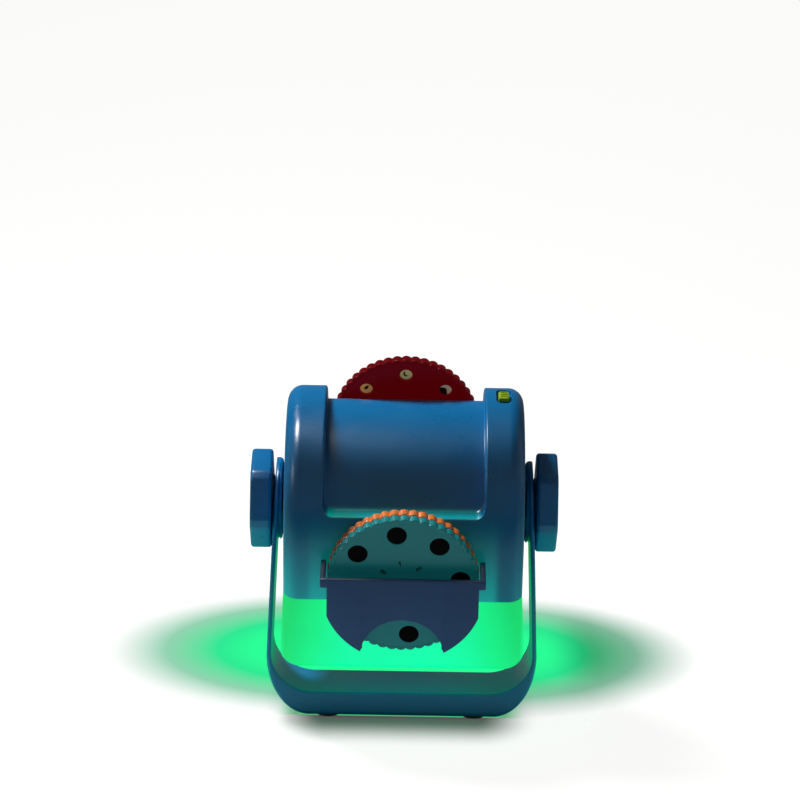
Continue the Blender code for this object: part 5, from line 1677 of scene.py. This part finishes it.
    def build_films(self, finishes: Finishes) -> bpy.types.Object:
        """The films in the windows: small squares of points cut round, each with its picture.

        Args:
            finishes: gives the materials.

        Returns:
            The object, riding on its body.
        """
        patch = Patchwork()
        side = np.linspace(-1.0, 1.0, 29)
        u, v = np.meshgrid(side, side)
        fit = np.maximum(np.hypot(u, v), 1e-6)
        square = np.maximum(np.abs(u), np.abs(v))
        round_u, round_v = u * square / fit, v * square / fit
        mark = np.array(srgb(self.mark)[:3])
        for k in range(self.pictures):
            ground = np.array(srgb(self.grounds[k % len(self.grounds)])[:3])
            ink = self.picture(round_u, round_v, k)[..., None]
            tone = ground * (1.0 - ink) + mark * ink
            tone = tone * (0.85 + 0.15 * round_v[..., None])
            tone = np.concatenate([tone, np.ones(u.shape + (1,))], axis=-1)
            flat = np.stack([(self.window - 0.1) * round_u,
                             (self.window - 0.1) * round_v + self.window_circle], axis=-1)
            flat = flat @ spin(360.0 / self.pictures * k)
            deep = 0.12 if self.lit else self.face - 0.35
            for facing in (-1.0, 1.0):
                patch.add(self.placed(flat, np.full(u.shape, deep * facing)), value=tone,
                          flip=facing > 0.0)
        finish = Finish.LIT_FILM if self.lit else Finish.FILM
        films = patch.build(self.colour + "_films", finishes[finish], self.body, "film",
                            attribute="ink")
        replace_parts(films, self.colour + "_disc_film")
        return films


@dataclass
class SlideSwitch:
    """The lime slider: a rounded block along the drum, with three grip ribs across its top."""

    x: float = 45.2
    forward: float = 8.2
    floor: float = 51.4
    top: float = 53.25
    length: float = 9.6
    width: float = 5.3

    def build(self, material: bpy.types.Material) -> bpy.types.Object:
        """The slider: rounded loops stacked up, drawn in at the top.

        Args:
            material: the piece's material.

        Returns:
            The object, riding on its body.
        """
        levels = np.array([self.floor, self.top - 0.8, self.top - 0.25, self.top - 0.05,
                           self.top, self.top])
        insets = np.array([0.0, 0.1, 0.35, 0.75, 1.2, 2.4])
        loops = []
        for up, inset in zip(levels, insets):
            flat = rounded_box_loop((-self.width / 2.0 + inset, -self.length / 2.0 + inset),
                                    (self.width / 2.0 - inset, self.length / 2.0 - inset),
                                    max(1.5 - inset, 0.12), 5)
            loops.append(np.concatenate([flat, np.full((len(flat), 1), up)], axis=1))
        grid = np.stack([fan(loops[0])[0], *loops, fan(loops[-1])[0]])
        patch = Patchwork()
        patch.add(self.turned(grid), close_cols=True)
        for shift in (-2.4, 0.0, 2.4):
            rib = revolve(np.array([[0.01, -1.7], [0.3, -1.65], [0.34, -1.5], [0.34, 1.5],
                                    [0.3, 1.65], [0.01, 1.7]]),
                          (0.0, shift, self.top - 0.02), "x", 16)
            patch.add(self.turned(rib), close_cols=True)
        slider = patch.build("switch_slider_fine", material, "switch", "lime_plastic",
                             outward=True)
        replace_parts(slider, "switch_slider")
        return slider

    def turned(self, grid: np.ndarray) -> np.ndarray:
        """Turn the switch's own points forward over the drum.

        Args:
            grid: (..., 3) points.

        Returns:
            (..., 3) head millimetres.
        """
        angle = math.radians(-self.forward)
        along = grid[..., 1] * math.cos(angle) - grid[..., 2] * math.sin(angle)
        up = grid[..., 1] * math.sin(angle) + grid[..., 2] * math.cos(angle)
        return np.stack([grid[..., 0] + self.x, along, up], axis=-1)


def stand_at(thing: bpy.types.Object, axes: Sequence[np.ndarray], spot: Point) -> None:
    """Link a camera or a lamp, and give it its place.

    Args:
        thing: the camera or lamp.
        axes: its X, Y and Z axes.
        spot: its place in millimetres.
    """
    matrix = Matrix.Identity(4)
    for row in range(3):
        for column, axis in enumerate(axes):
            matrix[row][column] = float(axis[row])
        matrix[row][3] = spot[row] * MM
    thing.matrix_world = matrix
    bpy.context.scene.collection.objects.link(thing)


@dataclass
class Studio:
    """Floor, lamps, world and the camera at the photograph's place."""

    camera: Point = (-2.72, -1477.9, 436.7)
    depression: float = 11.0
    roll: float = 0.96
    lens: float = 146.25
    pool: tuple[tuple[float, str], ...] = (
        (0.0, "22F58C"), (0.3, "28D486"), (0.56, "86C0A2"), (0.76, "D8E0DB"), (0.9, "F7F7F6"))
    # Name, place, target, size and power, in millimetres and watts
    lamps: tuple[tuple[str, Point, Point, float, float], ...] = (
        ("overhead", (-380.0, 360.0, 830.0), (0.0, 0.0, 95.0), 260.0, 10.6),
        ("key_gloss", (-369.0, -30.0, 985.0), (0.0, 0.0, 95.0), 250.0, 14.0),
        ("left_window", (-700.0, -420.0, 520.0), (0.0, 0.0, 95.0), 170.0, 0.9),
        ("pool_left", (-108.0, -14.0, 6.0), (-76.0, -4.0, 92.0), 70.0, 0.1),
        ("pool_right", (108.0, -14.0, 6.0), (76.0, -4.0, 92.0), 70.0, 0.08))
    pool_light: str = "00F0A0"
    # The floor's reach, where it starts to sweep up, the sweep's radius and the wall's height
    reach: float = 2600.0
    sweep_start: float = 700.0
    sweep: float = 900.0
    wall: float = 3200.0

    def build_camera(self) -> bpy.types.Object:
        """The camera: right, up and backward axes from the depression and the roll.

        Returns:
            The camera.
        """
        dip, roll = math.radians(self.depression), math.radians(self.roll)
        ahead = np.array([0.0, math.cos(dip), -math.sin(dip)])
        rise = np.array([0.0, math.sin(dip), math.cos(dip)])
        across = np.array([1.0, 0.0, 0.0])
        right = across * math.cos(roll) + rise * math.sin(roll)
        up = rise * math.cos(roll) - across * math.sin(roll)
        data = bpy.data.cameras.new("camera")
        data.lens = self.lens
        data.sensor_width = 36.0
        data.clip_start, data.clip_end = 0.05, 20.0
        camera = bpy.data.objects.new("camera", data)
        stand_at(camera, (right, up, -ahead), self.camera)
        bpy.context.scene.camera = camera
        return camera

    def build_floor(self) -> bpy.types.Object:
        """A pale sheet that sweeps up behind, tinted by the lamp's pool of green light.

        Returns:
            The sheet.
        """
        turn = np.linspace(0.05, 0.5 * math.pi, 20)
        flat = np.linspace(-self.reach, self.sweep_start, 40)
        along = np.concatenate([flat, self.sweep_start + self.sweep * np.sin(turn)])
        up = np.concatenate([0.0 * flat, self.sweep * (1.0 - np.cos(turn))])
        along, up = np.append(along, along[-1]), np.append(up, self.wall)
        across = np.linspace(-self.reach, self.reach, 21)
        grid = np.stack(np.broadcast_arrays(across[None, :], along[:, None], up[:, None]),
                        axis=-1)
        quads = joined(np.arange(grid[..., 0].size).reshape(grid.shape[:2]))
        mesh = bpy.data.meshes.new("floor")
        mesh.from_pydata((grid.reshape(-1, 3) * MM).tolist(), [], quads.tolist())
        mesh.shade_smooth()
        floor = bpy.data.objects.new("floor", mesh)
        bpy.context.scene.collection.objects.link(floor)
        mesh.materials.append(self.floor_paper())
        return floor

    def floor_paper(self) -> bpy.types.Material:
        """Matt white paper, seen as white, with green where the lamp's light pools on it.

        The camera sees its emission: white, tinted by the distance from the pool's middle
        line, and darker near the bar's foot. Other rays see weaker light, of the lit table in
        front and of the pool. Lengths in the rows are metres.

        Returns:
            The material.
        """
        material, tree, shader = fresh("white_paper")
        absolute, length = {"operation": "ABSOLUTE"}, {"operation": "LENGTH"}
        times, most = {"operation": "MULTIPLY"}, {"operation": "MAXIMUM"}
        less, times_plus = {"operation": "SUBTRACT"}, {"operation": "MULTIPLY_ADD"}
        nodes = wire(tree, [
            # The pool: its strength and its tint by distance, dimmer right of the stand
            ("where", "TexCoord", {}, ()),
            ("shifted", "VectorMath", less, ("where.Object", (0.0, 0.1, 0.0))),
            ("mirrored", "VectorMath", absolute, ("shifted.Vector",)),
            ("beyond", "VectorMath", less, ("mirrored.Vector", (0.032, 0.0, 0.0))),
            ("outside", "VectorMath", most, ("beyond.Vector", (0.0, 0.0, 0.0))),
            ("far", "VectorMath", length, ("outside.Vector",)),
            ("pool", "MapRange", SMOOTH, ("far.Value", 0.055, 0.118, 1.0, 0.0)),
            ("edge", "MapRange", {}, ("far.Value", 0.03, 0.13)),
            ("stops", "ValToRGB", {}, ("edge.Result",)),
            ("east", "SeparateXYZ", {}, ("where.Object",)),
            ("dim", "MapRange", SMOOTH, ("east.X", 0.072, 0.1, 1.0, 0.52)),
            ("shaded", "Mix", TINT, {"Factor": "pool.Result", 6: "stops.Color",
                                     7: "dim.Result"}),
            # The shade under and round the bar, by the distance from its footprint
            ("beside", "Math", absolute, ("east.X",)),
            ("past_end", "MapRange", {}, ("beside.0", 0.034, 0.068, 0.0, 0.05)),
            ("along", "Math", absolute, ("east.Y",)),
            ("before", "MapRange", {}, ("along.0", 0.0192, 0.1192, 0.0, 0.1)),
            ("gap", "CombineXYZ", {}, ("past_end.Result", "before.Result")),
            ("near", "VectorMath", length, ("gap.Vector",)),
            ("contact", "MapRange", SMOOTH, ("near.Value", 0.004, 0.046, 0.08, 0.99)),
            # Green light that leaks out under the bar
            ("strip", "MapRange", {}, ("along.0", 0.0145, 0.0165, 1.0, 0.0)),
            ("ends", "MapRange", {}, ("beside.0", 0.044, 0.058, 1.0, 0.0)),
            ("under", "Math", times, ("strip.Result", "ends.Result")),
            ("tone", "Mix", RGBA, {"Factor": "under.0", 6: "shaded.2",
                                   7: srgb(self.pool[0][1])}),
            # Paper that lamps light, weak beside what is seen, with its grain
            ("weak", "Mix", TINT, {"Factor": 1.0, 6: "tone.2", 7: (0.19, 0.19, 0.19, 1.0)}),
            ("grain", "TexNoise", {}, noise(1.5, 3.0)),
            ("tooth", "Bump", {}, bump("grain.Fac", 0.01)),
            # What reflections and the pieces' shades see of the table and the pool
            ("path", "LightPath", {}, ()),
            ("ahead", "MapRange", SMOOTH, ("east.Y", -0.02, -0.034, 0.0, 1.0)),
            ("distant", "MapRange", SMOOTH, ("east.Y", -0.17, -0.26, 1.0, 0.0)),
            ("front", "Math", times, ("ahead.Result", "distant.Result")),
            ("mirror", "Math", times_plus, ("front.0", 0.4, 0.08)),
            ("seen", "Math", times_plus, ("path.Is Glossy Ray", "mirror.0",
                                          "path.Is Camera Ray")),
            ("table", "Math", times, ("front.0", "path.Is Diffuse Ray")),
            ("tinged", "Math", times, ("pool.Result", "path.Is Diffuse Ray")),
            ("white", "Math", times, ("table.0", 0.42)),
            ("extra", "Math", times_plus, ("tinged.0", 1.5, "white.0")),
            ("bounce", "Math", times_plus, ("pool.Result", 0.6, "extra.0")),
            # Strength of the emission
            ("lit", "Math", most, ("pool.Result", "under.0")),
            ("glow", "Math", times, ("lit.0", 0.68)),
            ("face", "Math", most, ("contact.Result", "glow.0")),
            ("shown", "Math", times, ("seen.0", "face.0")),
            ("lift", "Math", most, ("shown.0", "bounce.0")),
            ("sheet", shader, {}, {"Base Color": "weak.2", "Emission Color": "tone.2",
                                   "Emission Strength": "lift.0", "Normal": "tooth.Normal",
                                   "Roughness": 0.85, "Specular IOR Level": 0.05})])
        paint(nodes["stops"], self.pool)
        return material

    def build_lights(self) -> None:
        """Area lamps aimed at the head, and green ones low beside it for the pool's light.

        The lamp overhead and the pools light surfaces only, and the other two show only as
        highlights, so that shade and shine are set apart.
        """
        for name, spot, target, size, power in self.lamps:
            data = bpy.data.lights.new(name, "AREA")
            data.shape = "DISK"
            data.size = size * MM
            data.energy = power
            data.color = srgb(self.pool_light)[:3] if "pool" in name else (1.0, 1.0, 1.0)
            lamp = bpy.data.objects.new(name, data)
            back = np.array(spot) - np.array(target)
            back = back / np.linalg.norm(back)
            side = np.cross([0.0, 0.0, 1.0], back)
            side = side / np.linalg.norm(side)
            stand_at(lamp, (side, np.cross(back, side), back), spot)
            shine_only = name in ("key_gloss", "left_window")
            lamp.visible_glossy = shine_only
            lamp.visible_diffuse = not shine_only
            lamp.visible_camera = False

    def build_world(self) -> None:
        """A world that is white to the camera, and weak and uneven from below up to the rest."""
        world = bpy.data.worlds.new("studio")
        bpy.context.scene.world = world
        world.use_nodes = True
        tree = world.node_tree
        most = {"operation": "MAXIMUM"}
        wire(tree, [
            ("path", "LightPath", {}, ()),
            ("seen", "Math", most, ("path.Is Camera Ray", "path.Is Transmission Ray")),
            ("where", "TexCoord", {}, ()),
            ("way", "SeparateXYZ", {}, ("where.Generated",)),
            ("soft", "MapRange", SMOOTH, ("way.Z", 0.1, 0.95, 0.012, 0.14)),
            ("sheen", "MapRange", SMOOTH, ("way.Z", 0.5, 0.98, 0.56, 0.1)),
            ("gloss", "Mix", {"data_type": "FLOAT"}, {"Factor": "path.Is Glossy Ray",
                                                      2: "soft.Result", 3: "sheen.Result"}),
            ("power", "Math", most, ("seen.0", "gloss.0")),
            ("sky", tree.nodes["Background"], {}, {"Color": srgb("F6F8FA"),
                                                   "Strength": "power.0"})])


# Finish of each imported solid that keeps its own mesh
KEPT: dict[Finish, tuple[str, ...]] = {
    Finish.NITRILE: ("stand_foot_front_left", "stand_foot_front_right", "stand_foot_rear_left",
                     "stand_foot_rear_right", "tilt_washer_left", "tilt_washer_right"),
    Finish.PLATED_STEEL: ("pivot_bolt_left", "pivot_bolt_right", "shell_screw_lower_left",
                          "shell_screw_lower_right", "shell_screw_upper_left",
                          "shell_screw_upper_right", "detent_spring", "switch_body",
                          "battery_contact_left", "battery_contact_right",
                          "battery_cover_screw"),
    Finish.TURNED_BRASS: ("pivot_insert_left", "pivot_insert_right"),
    Finish.BLACK_ABS: ("disc_guide", "condenser_tube", "lens_retaining_ring", "board_chip",
                       "board_capacitor", "battery_box"),
    Finish.BLUE_ABS: ("battery_cover",),
    Finish.BOARD: ("lamp_board", "main_board", "night_light_board"),
    Finish.LENS_ACRYLIC: ("condenser_lens", "rear_objective", "front_objective"),
    Finish.CELL_SLEEVE: ("battery_cell_1", "battery_cell_2", "battery_cell_3"),
    Finish.LAMP_RESIN: ("lamp_led", "night_light_led_front_left", "night_light_led_front_right",
                        "night_light_led_rear_left", "night_light_led_rear_right"),
}


def dress_kept(nodes: dict[str, bpy.types.Object], finishes: Finishes) -> None:
    """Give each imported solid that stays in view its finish.

    Args:
        nodes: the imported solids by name.
        finishes: gives the materials.
    """
    for finish, names in KEPT.items():
        for name in names:
            solid = nodes[name]
            solid.data.materials.clear()
            solid.data.materials.append(finishes[finish])


def main() -> None:
    """Load the frame, build and dress every piece, and set the studio."""
    logging.basicConfig(level=logging.INFO, format="%(name)s: %(message)s")
    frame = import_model()
    scene = bpy.context.scene
    scene.view_settings.view_transform = "Standard"
    finishes = Finishes()
    dress_kept(frame["nodes"], finishes)
    studio = Studio()
    studio.build_camera()
    studio.build_floor()
    studio.build_lights()
    studio.build_world()
    blue = finishes[Finish.BLUE_ABS]
    shells = HeadShells()
    shell = finishes[Finish.SHELL_ABS]
    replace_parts(shells.build_rear(shell), "rear_shell")
    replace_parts(shells.build_front(shell), "front_shell")
    lens = LensUnit()
    lens.build_boss(blue)
    lens.build_ring(finishes[Finish.LIME_ABS])
    lens.build_barrel(finishes[Finish.BLACK_ABS])
    Stand().build(blue)
    ClampKnob("left", -1.0).build(blue)
    ClampKnob("right", 1.0).build(blue)
    Diffuser().build(finishes[Finish.MILKY_GREEN])
    DiscPocket().build(finishes[Finish.NAVY_ABS])
    warm = ("C9C08A", "B9AC94", "D9C9A0", "C8A070", "C9C08A", "B0A488", "D8B078", "E0A868")
    # The stored discs' film grounds are painted near black, for the shade seen through them in the
    # pocket
    painted_shade_grounds = ("060809", "050607")
    for disc in (
            PictureDisc("red", "disc_in_use", Finish.RED_STYRENE, (0.0, 27.5, 26.1), 0.0, warm,
                        "1A0E0A", lit=True, window=3.1),
            PictureDisc("orange", "stored_disc_inner", Finish.ORANGE_STYRENE,
                        (0.0, -55.6, -8.0), 15.0, painted_shade_grounds, "05090A"),
            PictureDisc("teal", "stored_disc_outer", Finish.TEAL_STYRENE, (0.0, -60.5, -8.0),
                        -6.8, painted_shade_grounds, "05090A")):
        disc.build(finishes)
        disc.build_films(finishes)
        disc.build_numerals(finishes)
    SlideSwitch().build(finishes[Finish.LIME_ABS])
    bpy.context.view_layer.update()


if __name__ == "__main__":
    main()
